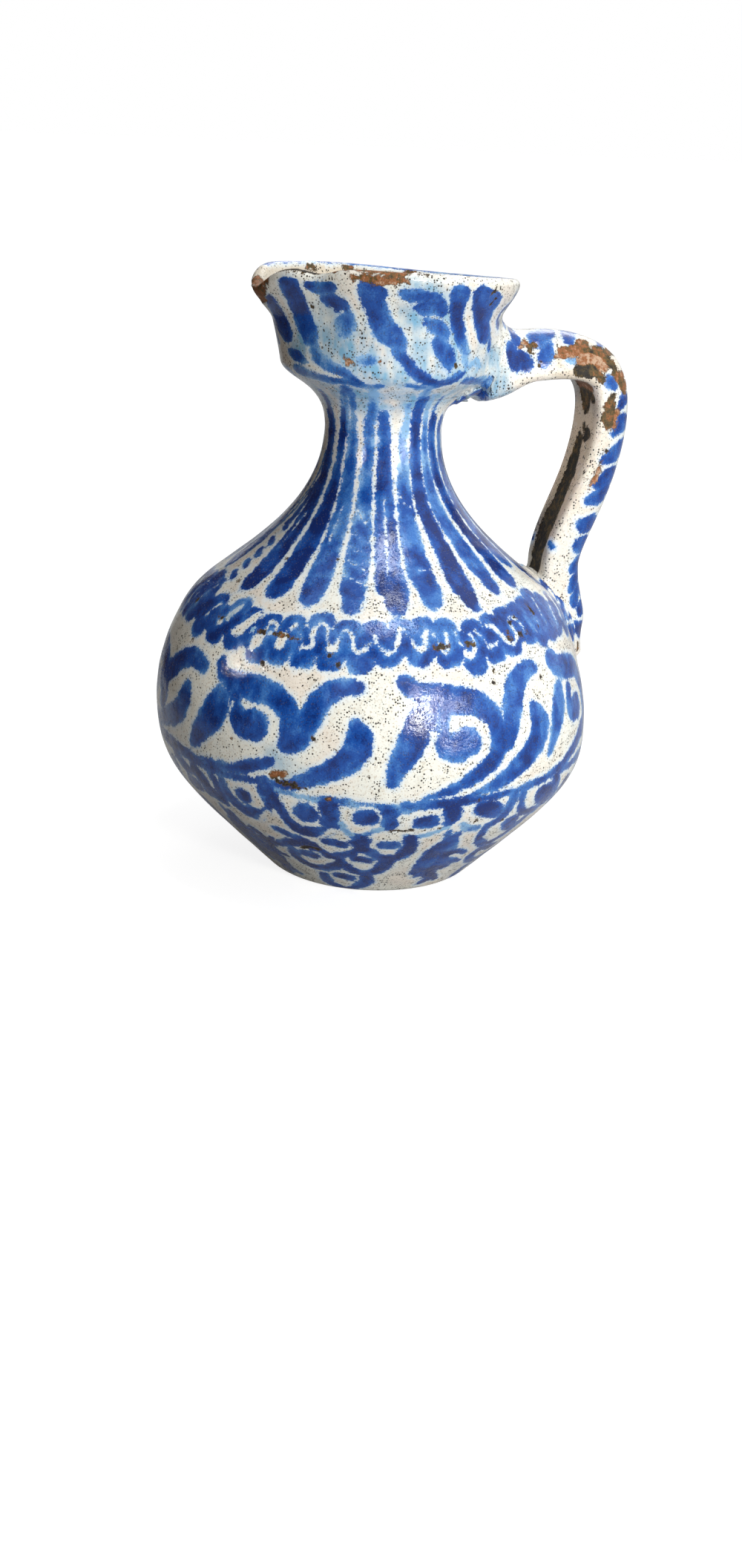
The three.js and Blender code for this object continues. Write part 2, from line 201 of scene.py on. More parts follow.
def wheel_tree():
    tree = bpy.data.node_groups.new("turned on the wheel", "GeometryNodeTree")
    face = tree.interface
    face.new_socket("Half section", in_out="INPUT", socket_type="NodeSocketGeometry")
    steps_in = face.new_socket("Steps round", in_out="INPUT", socket_type="NodeSocketInt")
    crowd_in = face.new_socket("Crowding", in_out="INPUT", socket_type="NodeSocketFloat")
    front_in = face.new_socket("Front turn", in_out="INPUT", socket_type="NodeSocketFloat")
    glaze_in = face.new_socket("Glaze", in_out="INPUT", socket_type="NodeSocketMaterial")
    face.new_socket("Pot", in_out="OUTPUT", socket_type="NodeSocketGeometry")
    given = tree.nodes.new("NodeGroupInput").outputs
    rows = node(tree, "GeometryNodeAttributeDomainSize", {0: given["Half section"]}).outputs[0]
    columns = maths(tree, "ADD", given["Steps round"], 1.0)
    grid = node(tree, "GeometryNodeMeshGrid", {"Vertices X": columns, "Vertices Y": rows})
    index = tree.nodes.new("GeometryNodeInputIndex").outputs[0]
    row = maths(tree, "MODULO", index, rows)
    column = maths(tree, "FLOOR", maths(tree, "DIVIDE", maths(tree, "ADD", index, 0.5), rows))
    place = node(tree, "GeometryNodeInputPosition").outputs[0]
    look = node(tree, "GeometryNodeSampleIndex",
                {"Geometry": given["Half section"], "Value": place, "Index": row},
                data_type="FLOAT_VECTOR", domain="POINT")
    section = node(tree, "ShaderNodeSeparateXYZ", {0: look.outputs[0]}).outputs
    share = maths(tree, "DIVIDE", column, given["Steps round"])
    even = maths(tree, "MULTIPLY_ADD", share, math.tau, -math.pi)
    wave = maths(tree, "MULTIPLY", maths(tree, "SINE", even), given["Crowding"])
    turn = maths(tree, "ADD", given["Front turn"], maths(tree, "SUBTRACT", even, wave))
    spot = node(tree, "ShaderNodeCombineXYZ", {
        "X": maths(tree, "MULTIPLY", section["X"], maths(tree, "COSINE", turn)),
        "Y": maths(tree, "MULTIPLY", section["X"], maths(tree, "SINE", turn)),
        "Z": section["Z"]})
    moved = node(tree, "GeometryNodeSetPosition", {"Geometry": grid.outputs[0], "Position": spot.outputs[0]})
    joined = node(tree, "GeometryNodeMergeByDistance", {"Geometry": moved.outputs[0], "Distance": 1e-6})
    real = node(tree, "GeometryNodeRealizeInstances", {"Geometry": joined.outputs[0]})
    dressed = node(tree, "GeometryNodeSetMaterial", {"Geometry": real.outputs[0], "Material": given["Glaze"]})
    out = tree.nodes.new("NodeGroupOutput")
    tree.links.new(dressed.outputs[0], out.inputs["Pot"])
    return tree, (steps_in, crowd_in, front_in, glaze_in)


wheel, wheel_sockets = wheel_tree()
FRONT_TURN = math.radians(-106)
STEPS_ROUND = 432
CROWDING = 0.42


def link(mesh, name):
    made = bpy.data.objects.new(name, mesh)
    bpy.context.scene.collection.objects.link(made)
    return made


def facing_out(mesh):
    """Turns all the faces round if the closed mesh has its inside outside."""
    xyz = read_points(mesh)
    mesh.calc_loop_triangles()
    corners = np.empty(len(mesh.loop_triangles) * 3, np.int32)
    mesh.loop_triangles.foreach_get("vertices", corners)
    a, b, c = (xyz[corners.reshape(-1, 3)[:, i]] for i in range(3))
    if np.einsum("ij,ij->i", a, np.cross(b, c)).sum() < 0:
        mesh.flip_normals()


def read_points(mesh):
    xyz = np.empty(len(mesh.vertices) * 3)
    mesh.vertices.foreach_get("co", xyz)
    return xyz.reshape(-1, 3) / MM


def write_points(mesh, xyz):
    mesh.vertices.foreach_set("co", (xyz * MM).astype(np.float32).ravel())
    mesh.update()


def throw(name, section, glaze):
    """A closed pot from a half section of (radius, height) points in millimetres."""
    line = bpy.data.meshes.new(name + "_section")
    points = [(r * MM, 0.0, z * MM) for r, z in section]
    line.from_pydata(points, [(i, i + 1) for i in range(len(points) - 1)], [])
    blank = link(line, name + "_section")
    turning = blank.modifiers.new("wheel", "NODES")
    turning.node_group = wheel
    values = (STEPS_ROUND, CROWDING, FRONT_TURN, glaze)
    for socket, value in zip(wheel_sockets, values):
        turning[socket.identifier] = value
    bpy.context.view_layer.update()
    made = bpy.data.meshes.new_from_object(blank.evaluated_get(bpy.context.evaluated_depsgraph_get()))
    made.name = name
    bpy.data.objects.remove(blank)
    made.shade_smooth()
    facing_out(made)
    return link(made, name)


glazes = {name: bpy.data.materials.new(name) for name in (
    "body_glaze", "collar_glaze", "handle_glaze", "luting_glaze")}
body = throw("Thrown_body", body_section, glazes["body_glaze"])

# %% [markdown]
# No thrown pot stays quite round on its axis: when it is cut from the wheel and carried off, the soft
# clay leans. On this jug the foot sits two millimetres to the right of the axis and the upper belly one
# to the left. Every member is moved by the same lean, and the painting follows it.

# %% Lean the pot
LEAN_HEIGHTS = (0, 30, 55, 75, 95, 110, 128)
LEAN_SHIFTS = (2.0, 1.6, 1.15, 0, -1.0, -0.7, 0)
LEAN_TURN = math.radians(-16)
lean_at = np.arange(-30, 300.0)
softener = np.hanning(27) / np.hanning(27).sum()
lean_by = np.convolve(np.interp(lean_at, LEAN_HEIGHTS, LEAN_SHIFTS), softener, "same")


def lean(xyz):
    shift = np.interp(xyz[..., 2], lean_at, lean_by)
    way = np.array([math.cos(LEAN_TURN), math.sin(LEAN_TURN), 0])
    return xyz + shift[..., None] * way


body_round = read_points(body.data)
write_points(body.data, lean(body_round))
print(f"body: {len(body.data.vertices)} points, {len(body.data.polygons)} faces")

# %% [markdown]
# ## The collar and its beak
# The collar is thrown on the neck as a flared ring with a thickened lip. While it is still soft, the
# potter pulls one side of the rim out and down to a beak for pouring, and pinches it in on both sides
# with thumb and fingers. So the collar is first thrown round, like the body, and then pushed with bell
# shaped moves that fade to nothing at the seat. This is how it happens on the wheel, and it keeps the
# wall's thickness. The worn tip of the beak is left to the flakes that are painted further down.

# %% Throw the collar and pinch it
COVE = (44.8, JUG_HEIGHT * 0.8637)
LIP_BASE = (47.4, JUG_HEIGHT * 0.9405)
LIP = (54.75, JUG_HEIGHT - 0.15)
COLLAR_WALL = 5.4
wall_slope = math.degrees(math.atan2(LIP_BASE[1] - COVE[1], LIP_BASE[0] - COVE[0]))
collar_line = np.vstack([
    cubic(NECK_TOP, toward(NECK_TOP, NECK_TOP_SLOPE, 6.5), toward(COVE, wall_slope, -4.5), COVE, SHARES)[0],
    np.linspace(COVE, LIP_BASE, 60)[1:],
    cubic(LIP_BASE, toward(LIP_BASE, wall_slope, 4.5), toward(LIP, wall_slope, -4.8), LIP, SHARES)[0][1:],
])
collar_inside = inset(collar_line, COLLAR_WALL)
collar_inside = collar_inside[collar_inside[:, 1] > NECK_TOP[1] + 1][::-1]
rim_middle = 0.5 * (collar_line[-1] + collar_inside[0])
rim_arm = collar_line[-1] - rim_middle
rim_turns = np.linspace(0, math.pi, 12)[1:-1]
rim = rim_middle + np.stack([
    rim_arm[0] * np.cos(rim_turns) - rim_arm[1] * np.sin(rim_turns),
    rim_arm[0] * np.sin(rim_turns) + rim_arm[1] * np.cos(rim_turns)], 1)
fineness = 1.0
collar_section = np.vstack([
    evenly(collar_line, 0.8 * fineness), rim, evenly(collar_inside, 1.3 * fineness),
    [(NECK_TOP[0] - BODY_WALL, NECK_TOP[1]), NECK_TOP]])


def fade(turn, middle, spread):
    away = (turn - middle + 180) % 360 - 180
    return np.exp(-(away / spread) ** 2)


def pinch(xyz):
    """The fingers' work on the round collar: nothing at the seat, most at the rim."""
    turn = np.degrees(np.arctan2(xyz[:, 1], xyz[:, 0]))
    radius = np.hypot(xyz[:, 0], xyz[:, 1])
    eased = (np.maximum(xyz[:, 2] - NECK_TOP[1], 0) / (JUG_HEIGHT - NECK_TOP[1])) ** 1.8
    thumb, finger = fade(turn, -140, 11), fade(turn, 135, 15)
    push = 3.8 * fade(turn, 180, 30) - 3 * thumb - 3 * finger
    drop = 8.5 * fade(turn, 180, 18) + 2.6 * thumb
    tilt = 3 * np.cos(np.radians(turn + 130)) + 1.1 * fade(turn, 98, 35)
    scale = (radius + eased * push) / np.maximum(radius, 1e-6)
    return np.stack([xyz[:, 0] * scale, xyz[:, 1] * scale, xyz[:, 2] + eased * (tilt - drop)], 1)


collar = throw("Mouth_collar", collar_section, glazes["collar_glaze"])
collar_round = read_points(collar.data)
write_points(collar.data, pinch(collar_round))
print(f"collar: {len(collar.data.vertices)} points, {len(collar.data.polygons)} faces")

# %% [markdown]
# ## The pulled handle
# A potter pulls a handle from a wedge of wet clay with a wet hand, which leaves a strap with a flat
# inner face and a domed outer one. It springs from the collar, bends down in one soft turn and is
# pressed on to the shoulder. Here a D shaped section is swept along three joined curves, and its
# thickness and width change on the way. A bevelled curve object could give the path too, but plain
# mesh code lets the section change freely, and lets both ends be closed inside the clay they join.

# %% Sweep the handle
ROOT_HEIGHT = NECK_TOP[1] + 12.4
ROOT = (np.interp(ROOT_HEIGHT, collar_line[:, 1], collar_line[:, 0]) - 4.8, ROOT_HEIGHT)
BEND = (LIP_BASE[0] + 54.2, ROOT_HEIGHT - 22)
KNEE = (body_radius(BELLY[1] + 62.2) + 18.5, BELLY[1] + 62.2)
TAIL = (body_radius(BELLY[1] + 22) + 1.2, BELLY[1] + 22)
ABOVE_TAIL = (body_radius(TAIL[1] + 14) + 1.2, TAIL[1] + 14)
HANDLE_CURVES = (
    (ROOT, toward(ROOT, 13.5, 42), toward(BEND, 90, 27), BEND),
    (BEND, toward(BEND, -90, 30), toward(KNEE, 90, 14), KNEE),
    (KNEE, toward(KNEE, -90, 14), ABOVE_TAIL, TAIL),
)
# place along the handle, thickness, width
HANDLE_SIZES = np.array([
    (0, 26, 38), (0.22, 20.5, 35), (0.55, 18.6, 33), (1, 18.2, 32), (1.5, 19.2, 29), (2, 19.4, 26),
    (2.6, 21, 25), (3, 10, 22)])
# place along the handle, and how far its middle line is pushed outwards there
HANDLE_PUSHES = np.array([
    (0, 0), (0.4, 0.3), (0.68, 1.0), (0.95, 0.05), (1.2, -0.4), (1.6, -0.6), (2, -0.5), (2.5, 0), (3, 0)])


def handle_size(place, column):
    slot = np.clip(np.searchsorted(HANDLE_SIZES[:, 0], place) - 1, 0, len(HANDLE_SIZES) - 2)
    start, end = HANDLE_SIZES[slot], HANDLE_SIZES[slot + 1]
    mix = smooth_step((place - start[:, 0]) / (end[:, 0] - start[:, 0]))
    return start[:, column] + mix * (end[:, column] - start[:, column])


def d_section(count):
    """Round the D once, starting in the middle of the flat inner face; one unit thick and wide."""
    t = np.linspace(0, 1, 60)[:, None]

    def bend(a, b, c):
        return (1 - t) ** 2 * np.array(a) + 2 * (1 - t) * t * np.array(b) + t * t * np.array(c)

    half = np.vstack([
        [(-0.5, 0)],
        bend((-0.5, 0.36), (-0.5, 0.5), (-0.34, 0.5)),
        cubic((-0.34, 0.5), (0.12, 0.5), (0.5, 0.34), (0.5, 0), t[:, 0])[0][1:]])
    outline = np.vstack([half, (half * (1, -1))[::-1][1:]])
    return evenly(outline, np.linalg.norm(np.diff(outline, axis=0), axis=1).sum() / count)[:-1]


def sweep_handle(along, around):
    """Rings of points from root to tail, closed at both ends by shrinking rings."""
    place = np.linspace(0, 3, along + 1)
    centre, way = np.zeros((len(place), 2)), np.zeros((len(place), 2))
    for i, curve in enumerate(HANDLE_CURVES):
        here = (place >= i) & (place <= i + 1)
        centre[here], way[here] = cubic(*curve, place[here] - i)
    section = d_section(around)
    thick, wide = handle_size(place, 1), handle_size(place, 2)
    out = section[:, 0][None] * thick[:, None]
    out = out + np.interp(place, *HANDLE_PUSHES.T)[:, None]
    rings = np.stack([
        centre[:, :1] - way[:, 1:] * out, section[:, 1][None] * wide[:, None],
        centre[:, 1:] + way[:, :1] * out], 2)
    shrink = (0.75, 0.5, 0.25)
    root_caps = [rings[0].mean(0) + k * (rings[0] - rings[0].mean(0)) for k in shrink[::-1]]
    tail_caps = [rings[-1].mean(0) + k * (rings[-1] - rings[-1].mean(0)) for k in shrink]
    return np.concatenate([root_caps, rings, tail_caps])


HANDLE_ALONG, HANDLE_AROUND = ((300, 132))
handle_rings = sweep_handle(HANDLE_ALONG, HANDLE_AROUND)


def ring_mesh(name, rings, glaze):
    """A closed skin over rings of points, with a point in the middle of each end."""
    rows, columns = rings.shape[:2]
    points = np.vstack([rings.reshape(-1, 3), rings[0].mean(0), rings[-1].mean(0)])
    faces = []
    for i in range(rows - 1):
        for j in range(columns):
            k = (j + 1) % columns
            faces.append((i * columns + j, i * columns + k, (i + 1) * columns + k, (i + 1) * columns + j))
    first, last = rows * columns, rows * columns + 1
    for j in range(columns):
        k = (j + 1) % columns
        faces.append((first, k, j))
        faces.append((last, (rows - 1) * columns + j, (rows - 1) * columns + k))
    mesh = bpy.data.meshes.new(name)
    mesh.from_pydata((points * MM).tolist(), [], faces)
    mesh.materials.append(glaze)
    mesh.shade_smooth()
    facing_out(mesh)
    return link(mesh, name)


handle = ring_mesh("Strap_handle", handle_rings, glazes["handle_glaze"])
print(f"handle: {len(handle.data.vertices)} points, {len(handle.data.polygons)} faces")

# %% [markdown]
# ## The two lumps that hold the handle
# A strap pressed straight on to a pot would crack off as it dries. The potter wets both places, pushes
# a small wad of clay into the corner under the root, and smears a flat pad of clay over the shoulder
# round the tail. Both are squashed balls: the wad stays a ball and the pad is wrapped on the shoulder.

# %% Wad and pad
def ball(along, around):
    """Rings of a unit ball from its lowest to its highest, without the two poles."""
    rise = np.linspace(0, math.pi, along + 2)[1:-1]
    turn = np.linspace(0, math.tau, around, endpoint=False)
    return np.stack([
        np.sin(rise)[:, None] * np.cos(turn), np.sin(rise)[:, None] * np.sin(turn),
        np.repeat(-np.cos(rise)[:, None], around, 1)], 2)


grain = ((56, 96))
wad = ball(*grain) * (17.5, 15, 7.6) + (ROOT[0] - 1, 0, ROOT[1] - 6)
upper_luting = ring_mesh("Upper_luting", wad, glazes["luting_glaze"])

pad = ball(*grain)
pad_middle, pad_half = BELLY[1] + 39.5, 20.5
pad_height = pad_middle + pad_half * pad[..., 2]
pad_radius = body_radius(pad_height) + 3.6 * pad[..., 0]
pad_angle = (13 + 3.4) * pad[..., 1] / body_radius(pad_middle)
pad = np.stack([pad_radius * np.cos(pad_angle), pad_radius * np.sin(pad_angle), pad_height], 2)
lower_luting = ring_mesh("Lower_luting", pad, glazes["luting_glaze"])
print("wad and pad made")

# %% [markdown]
# ## Smearing the joints smooth
# On the real jug a wet thumb has run round every joint, so the members flow into each other. The same
# is done here point by point. Where the skin of one member comes near the skin of another, it is lifted
# a little along the two skins' shared direction, and most where they meet. Both members are lifted
# alike, so their skins still meet, now in a soft hollow. Ends that would poke through a wall are first
# drawn back into the middle of it.

# %% Draw ends back into the walls, then smear
def read_normals(mesh):
    out = np.empty(len(mesh.vertices) * 3)
    mesh.vertices.foreach_get("normal", out)
    return out.reshape(-1, 3)


def keep_in_wall(xyz, line, depth):
    """Moves points that lie deeper than depth under a turned skin back to that depth."""
    radius = np.hypot(xyz[:, 0], xyz[:, 1])
    least = np.interp(xyz[:, 2], line[:, 1], line[:, 0]) - depth
    scale = np.where(radius < least, least / np.maximum(radius, 1e-6), 1)
    return xyz * np.stack([scale, scale, np.ones_like(scale)], 1)


jug_line = np.vstack([body_line, collar_line[1:]])
for part in (handle, upper_luting, lower_luting):
    write_points(part.data, lean(keep_in_wall(read_points(part.data), jug_line, 2.4)))

joints = (
    (handle, collar, 14.0), (handle, body, 6.0), (upper_luting, body, 11.0), (upper_luting, collar, 11.0),
    (upper_luting, handle, 11.0), (lower_luting, body, 5.0), (lower_luting, handle, 6.0),
)
skins = {}
for part in (body, collar, handle, upper_luting, lower_luting):
    xyz, normals = read_points(part.data), read_normals(part.data)
    faces = [tuple(p.vertices) for p in part.data.polygons]
    skins[part.name] = (xyz, normals, BVHTree.FromPolygons(xyz.tolist(), faces))


def lift(part, other, reach):
    """How far each point of part is lifted where other's skin is within reach."""
    xyz, normals, _ = skins[part.name]
    theirs = skins[other.name]
    low, high = theirs[0].min(0) - reach, theirs[0].max(0) + reach
    moves = np.zeros_like(xyz)
    for i in np.flatnonzero(((xyz > low) & (xyz < high)).all(1)):
        spot, normal, _, distance = theirs[2].find_nearest(Vector(xyz[i]), reach)
        if spot is None:
            continue
        nearness = 1 - distance / reach
        share = 0.5 * nearness
        way = (1 - share) * normals[i] + share * np.array(normal)
        moves[i] = 0.25 * reach * nearness ** 2 * way / max(way @ way, 0.2)
    return moves


moved = {name: np.zeros_like(skin[0]) for name, skin in skins.items()}
for one, other, reach in joints:
    for part, near in ((one, other), (other, one)):
        move, before = lift(part, near, reach), moved[part.name]
        larger = np.linalg.norm(move, axis=1) > np.linalg.norm(before, axis=1)
        moved[part.name] = np.where(larger[:, None], move, before)
for part in (body, collar, handle, upper_luting, lower_luting):
    write_points(part.data, skins[part.name][0] + moved[part.name])
    part.data.set_sharp_from_angle(angle=math.radians(50))
    print(f"{part.name}: smeared by up to {np.linalg.norm(moved[part.name], axis=1).max():.2f} mm")

# %% [markdown]
# ## A brush for cobalt
# The decorator paints on the raw white glaze with cobalt in water, which soaks in at once, so every
# stroke keeps its shape and its load of colour. A texture image could hold such a painting, but here
# each stroke is laid on the clay as the hand would do it: a line through a few places on the skin, and
# how wide the brush is pressed at each. A place is a turn in degrees from the front and a height. The
# depth of every point of the mesh inside the strokes is kept in millimetres, and the finish turns that
# depth into colour later, with its own fine ragged edge. White lines are strokes that take depth away.

# %% The brush
REACH = 3.0


class Canvas:
    """The painted skin of one member: where it can be painted, and what was painted there."""

    def __init__(self, part, paintable):
        self.part = part
        self.xyz = skins[part.name][0]
        self.paintable = paintable
        count = len(self.xyz)
        self.marks = {"cobalt": np.full(count, -REACH), "load": np.full(count, 0.6),
                      "wash": np.zeros(count), "stain": np.zeros(count), "flake_and_shade": np.full(count, -REACH),
                      "bare": np.zeros(count)}


def everywhere(part):
    return np.ones(len(part.data.vertices), bool)


collar_turned = np.hypot(collar_round[:, 0], collar_round[:, 1])
beyond_wall = collar_turned > np.interp(collar_round[:, 2], collar_line[:, 1], collar_line[:, 0]) - 2.7
at_rim = collar_round[:, 2] > collar_line[-1, 1] - 7
body_outside = np.hypot(*body_round[:, :2].T) > body_radius(body_round[:, 2]) - 2.7
canvases = {
    "body": Canvas(body, body_outside), "collar": Canvas(collar, beyond_wall),
    "handle": Canvas(handle, everywhere(handle)),
    "wad": Canvas(upper_luting, everywhere(upper_luting)),
    "pad": Canvas(lower_luting, everywhere(lower_luting)), "rim": Canvas(collar, at_rim)}
canvases["rim"].marks = canvases["collar"].marks


def around(points):
    """The turn from the front in degrees, and the height, of points on the round pot."""
    turn = np.degrees(np.arctan2(points[:, 1], points[:, 0])) + 106
    return (turn + 180) % 360 - 180, points[:, 2]


places = {"body": around(body_round), "collar": around(collar_round)}


def on_jug(turn, height):
    """Places on the turned skin of the body or the collar, as points in space."""
    angle = np.radians(np.asarray(turn, float) - 106)
    radius = np.interp(height, jug_line[:, 1], jug_line[:, 0])
    return lean(pinch(np.stack([radius * np.cos(angle), radius * np.sin(angle), height + 0 * angle], 1)))


def flowing(knots, parts=12):
    """A smooth line through all the knots."""
    knots = np.vstack([2 * knots[0] - knots[1], knots, 2 * knots[-1] - knots[-2]])
    t = np.linspace(0, 1, parts, endpoint=False)[:, None]
    pieces = []
    for a, b, c, d in zip(knots, knots[1:], knots[2:], knots[3:]):
        pieces.append(0.5 * (2 * b + (c - a) * t + (2 * a - 5 * b + 4 * c - d) * t ** 2
                             + (3 * b - a - 3 * c + d) * t ** 3))
    return np.vstack(pieces + [knots[-2:-1]])


def trace(stroke, shift=0.0, place=on_jug, swell=0.0):
    """Points in space and half widths along a stroke of (turn, height, half width) triples."""
    knots = np.array(stroke, float).reshape(-1, 3) + (shift, 0, swell)
    line = flowing(knots) if len(knots) > 1 else knots
    spots = place(line[:, 0], line[:, 1])
    both = np.column_stack([spots, np.maximum(line[:, 2], 0.15)])
    return evenly(both, 0.5) if len(both) > 1 else both


def depth_in(canvas, traced, reach=REACH):
    """The points near a traced stroke, and how deep each lies in it; less than nothing is outside."""
    spread = traced[:, 3].max() + reach
    low, high = traced[:, :3].min(0) - spread, traced[:, :3].max(0) + spread
    near = np.flatnonzero(canvas.paintable & ((canvas.xyz > low) & (canvas.xyz < high)).all(1))
    depth = np.full(len(near), -reach)
    for start in range(0, len(near), 4000):
        some = near[start:start + 4000]
        gaps = np.linalg.norm(canvas.xyz[some][:, None] - traced[None, :, :3], axis=2)
        depth[start:start + 4000] = (traced[:, 3][None] - gaps).max(1)
    return near, np.maximum(depth, -reach)


def lay(marks, near, depth, load):
    """Cobalt on these points; where strokes overlap the deeper one decides the load."""
    newer = depth >= marks["cobalt"][near]
    marks["load"][near] = np.where(newer, load, marks["load"][near])
    marks["cobalt"][near] = np.maximum(marks["cobalt"][near], depth)


def paint(strokes, load=0.7, shift=0.0, place=on_jug, on=("body", "collar", "wad", "pad"), swell=0.0):
    for stroke in strokes:
        traced = trace(stroke, shift, place, swell)
        for name in on:
            near, depth = depth_in(canvases[name], traced)
            lay(canvases[name].marks, near, depth, load)


def fill(edges, load=0.8, shift=0.0, swell=0.35, head=0.35, foot=0.35):
    """A broad stroke between two edges, in rows of (height, left turn, right turn) from the top down.
    The load may be a pair, for the top and for the foot; head and foot round it off beyond its rows."""
    rows = flowing(np.array(edges, float).reshape(-1, 3))[::-1]
    for name, (turn, height) in places.items():
        middle = np.interp(height, rows[:, 0], rows[:, 1:].mean(1)) + shift
        half = 0.5 * np.interp(height, rows[:, 0], rows[:, 2] - rows[:, 1])
        beyond = np.maximum((height - rows[-1, 0]) / head, (rows[0, 0] - height) / foot)
        half = half * np.sqrt(1 - np.clip(beyond, 0, 1) ** 2 * 0.9)
        away = np.abs((turn - middle + 180) % 360 - 180)
        side = np.radians(half - away) * np.interp(height, jug_line[:, 1], jug_line[:, 0]) + swell
        end = np.minimum(height - rows[0, 0] + foot, rows[-1, 0] - height + head)
        depth = -np.log(np.exp(-1.3 * side) + np.exp(-1.3 * end)) / 1.3
        near = np.flatnonzero(canvases[name].paintable & (depth > -REACH))
        loads = np.interp(height[near], (rows[0, 0], rows[-1, 0]), np.broadcast_to(load, 2)[::-1])
        lay(canvases[name].marks, near, depth[near], loads)


def leave_white(strokes, shift=0.0):
    for stroke in strokes:
        traced = trace(stroke, shift)
        for name in ("body", "collar", "wad", "pad"):
            marks = canvases[name].marks
            near, depth = depth_in(canvases[name], traced)
            marks["cobalt"][near] = np.minimum(marks["cobalt"][near], -depth)


def wash(strokes, strength=0.4, softness=5.0, place=on_jug, on=("body", "collar", "wad", "pad"), mark="wash"):
    """Thin watery cobalt with no edge, or a brown stain in the glaze where the mark is "stain"."""
    for stroke in strokes:
        traced = trace(stroke, 0.0, place)
        for name in on:
            marks = canvases[name].marks[mark]
            near, depth = depth_in(canvases[name], traced, softness)
            amount = strength * smooth_step((depth + softness) / (softness + 2))
            marks[near] = np.maximum(marks[near], amount)


def flake_and_shade(flakes, bare=0.5, place=on_jug, on=("body", "collar", "handle", "wad", "pad")):
    """Places where the glaze has flaked off, and a few dark marks of painted shade laid the same way; bare is
    0 for dark olive clay and 1 for pale ochre.
    """
    for flake in flakes:
        traced = trace(flake, 0.0, place)
        for name in on:
            marks = canvases[name].marks
            near, depth = depth_in(canvases[name], traced)
            newer = depth >= marks["flake_and_shade"][near]
            marks["bare"][near] = np.where(newer, bare, marks["bare"][near])
            marks["flake_and_shade"][near] = np.maximum(marks["flake_and_shade"][near], depth)


print("brush ready on", ", ".join(canvases))

# %% [markdown]
# ## The belly: scrolls above a vine
# Seven scrolls run round the belly. Each is one long arc that curls down to a vine, a curl with a round
# eye inside it, a leaf that hangs at its left, and two commas that fill the gap to the next. They were
# painted freehand: three are drawn as they stand, and the four at the edge and behind repeat two of them.

# %% Paint the scrolls
SCROLL_A = (
    (-43.5, 107, 2.5, -41, 102, 3.5, -36, 101, 4.7, -30, 100.5, 5.8, -24, 99, 4.6, -20, 93.5, 4.6,
     -18.5, 87, 5.5, -19, 82.5, 5.2, -20.5, 80, 3),
    (-36, 97, 3, -35.5, 91, 3.6, -33, 86, 5.4, -29.5, 86, 6.8),
    (-41, 96.5, 3.5, -41.5, 91, 6.3, -43.5, 85, 7, -47.5, 77.5, 5, -50.5, 71, 3),
    (-25, 72, 2.5, -31, 68, 2.7, -37, 65, 2.2, -47, 64, 2.3),
)
COMMAS_A = (
    (-17, 84, 5, -14, 93.5, 5, -12, 99.5, 4.7, -9, 104, 4, -5, 106, 3.3, -3, 105.5, 3),
    (-2.5, 91, 3, -2, 85, 5.6, -3.5, 78.5, 5.6, -8, 72.5, 4.7, -14.5, 67, 3.4, -20.5, 63, 2, -24.5, 63, 1.6),
)
SLITS_A = ((-36.5, 93.5, 0.5, -37.5, 88, 0.5, -37, 84, 0.9), (-41.5, 99.5, 0.4, -38, 96.5, 0.4))
SCROLL_B = (
    (9.5, 108.5, 3.4, 12, 105, 3.7, 18, 103, 4.6, 25, 100.5, 5.6, 30.5, 97.5, 4.8, 34, 91.5, 4.1,
     35, 84.5, 4.6, 33.5, 76.5, 4.1, 28, 69.5, 3.2, 21, 64, 2.2, 14, 60.5, 1),
    (19.5, 94.5, 2.6, 19, 88, 2.8, 20.5, 82.5, 5.2, 23.5, 82.5, 6.2, 25.5, 84, 6.2),
    (14, 98.5, 3.6, 12.5, 91, 5.5, 11, 84.5, 5.8, 8, 76, 4.4, 6, 68, 2.6),
)
COMMAS_B = (
    (37.5, 82, 4.2, 39.5, 92, 5, 41.5, 102, 5.4, 44, 106.5, 4.7, 48, 109, 3.5, 50.5, 108.5, 2.4),
    (47.5, 94, 2.4, 49.5, 87, 5.5, 48, 79.5, 5.7, 43.5, 73.5, 4.8, 37, 67, 3.6, 31.5, 63, 2.1, 26, 60.5, 1),
)
SLITS_B = ((17, 85, 0.4, 18.5, 90, 0.5),)
SCROLL_C = (
    (60, 109.5, 4.5, 63, 106, 5.2, 70, 103.5, 5.4, 76, 101, 5, 80.5, 92, 5, 81, 84, 5, 79, 77, 4.5,
     75, 73, 4),
    (67, 95, 2.8, 66, 90, 3.3, 67, 85.5, 4.5, 71.5, 86, 6),
    (61, 97.5, 3.4, 59.5, 91.5, 5.4, 57.5, 84.5, 4.6, 53, 72.5, 1.8),
)
COMMAS_LEFT = (
    (-73, 90, 6, -66, 96.5, 5.1, -60, 103, 4.5, -55, 105, 4, -50, 103.5, 3.2),
    (-55, 94, 2.4, -55.5, 88, 4.9, -58, 81.5, 5.4, -63.5, 76.5, 4.4, -75, 70.5, 2.6),
)
for shift in (0, -51, 255.5):
    paint(SCROLL_A, 0.8, shift)
    leave_white(SLITS_A, shift)
B_FILLED = ((16.5, 99, 3.5, 16.5, 91.5, 2.4), (14, 100.5, 3.5, 23, 98, 2.8))
for shift in (0, 99, 150.5):
    paint(SCROLL_B + B_FILLED, 0.82, shift)
    leave_white(SLITS_B, shift)
paint(SCROLL_C, 0.72)
paint(COMMAS_A, 0.82)
paint(COMMAS_A, 0.8, 255.5)
paint(COMMAS_LEFT, 0.8)
for shift in (0, 48, 99, 150.5):
    paint(COMMAS_B, 0.8, shift)
wash([(-24, 76, 2, -20, 70, 3, -15, 67, 2)], 0.5)

# %% [markdown]
# The vine is a long thin wavering line, loaded heavily at the sides and nearly dry in the middle, drawn
# over the ends of the scrolls. Under it the belly narrows fast to the foot.

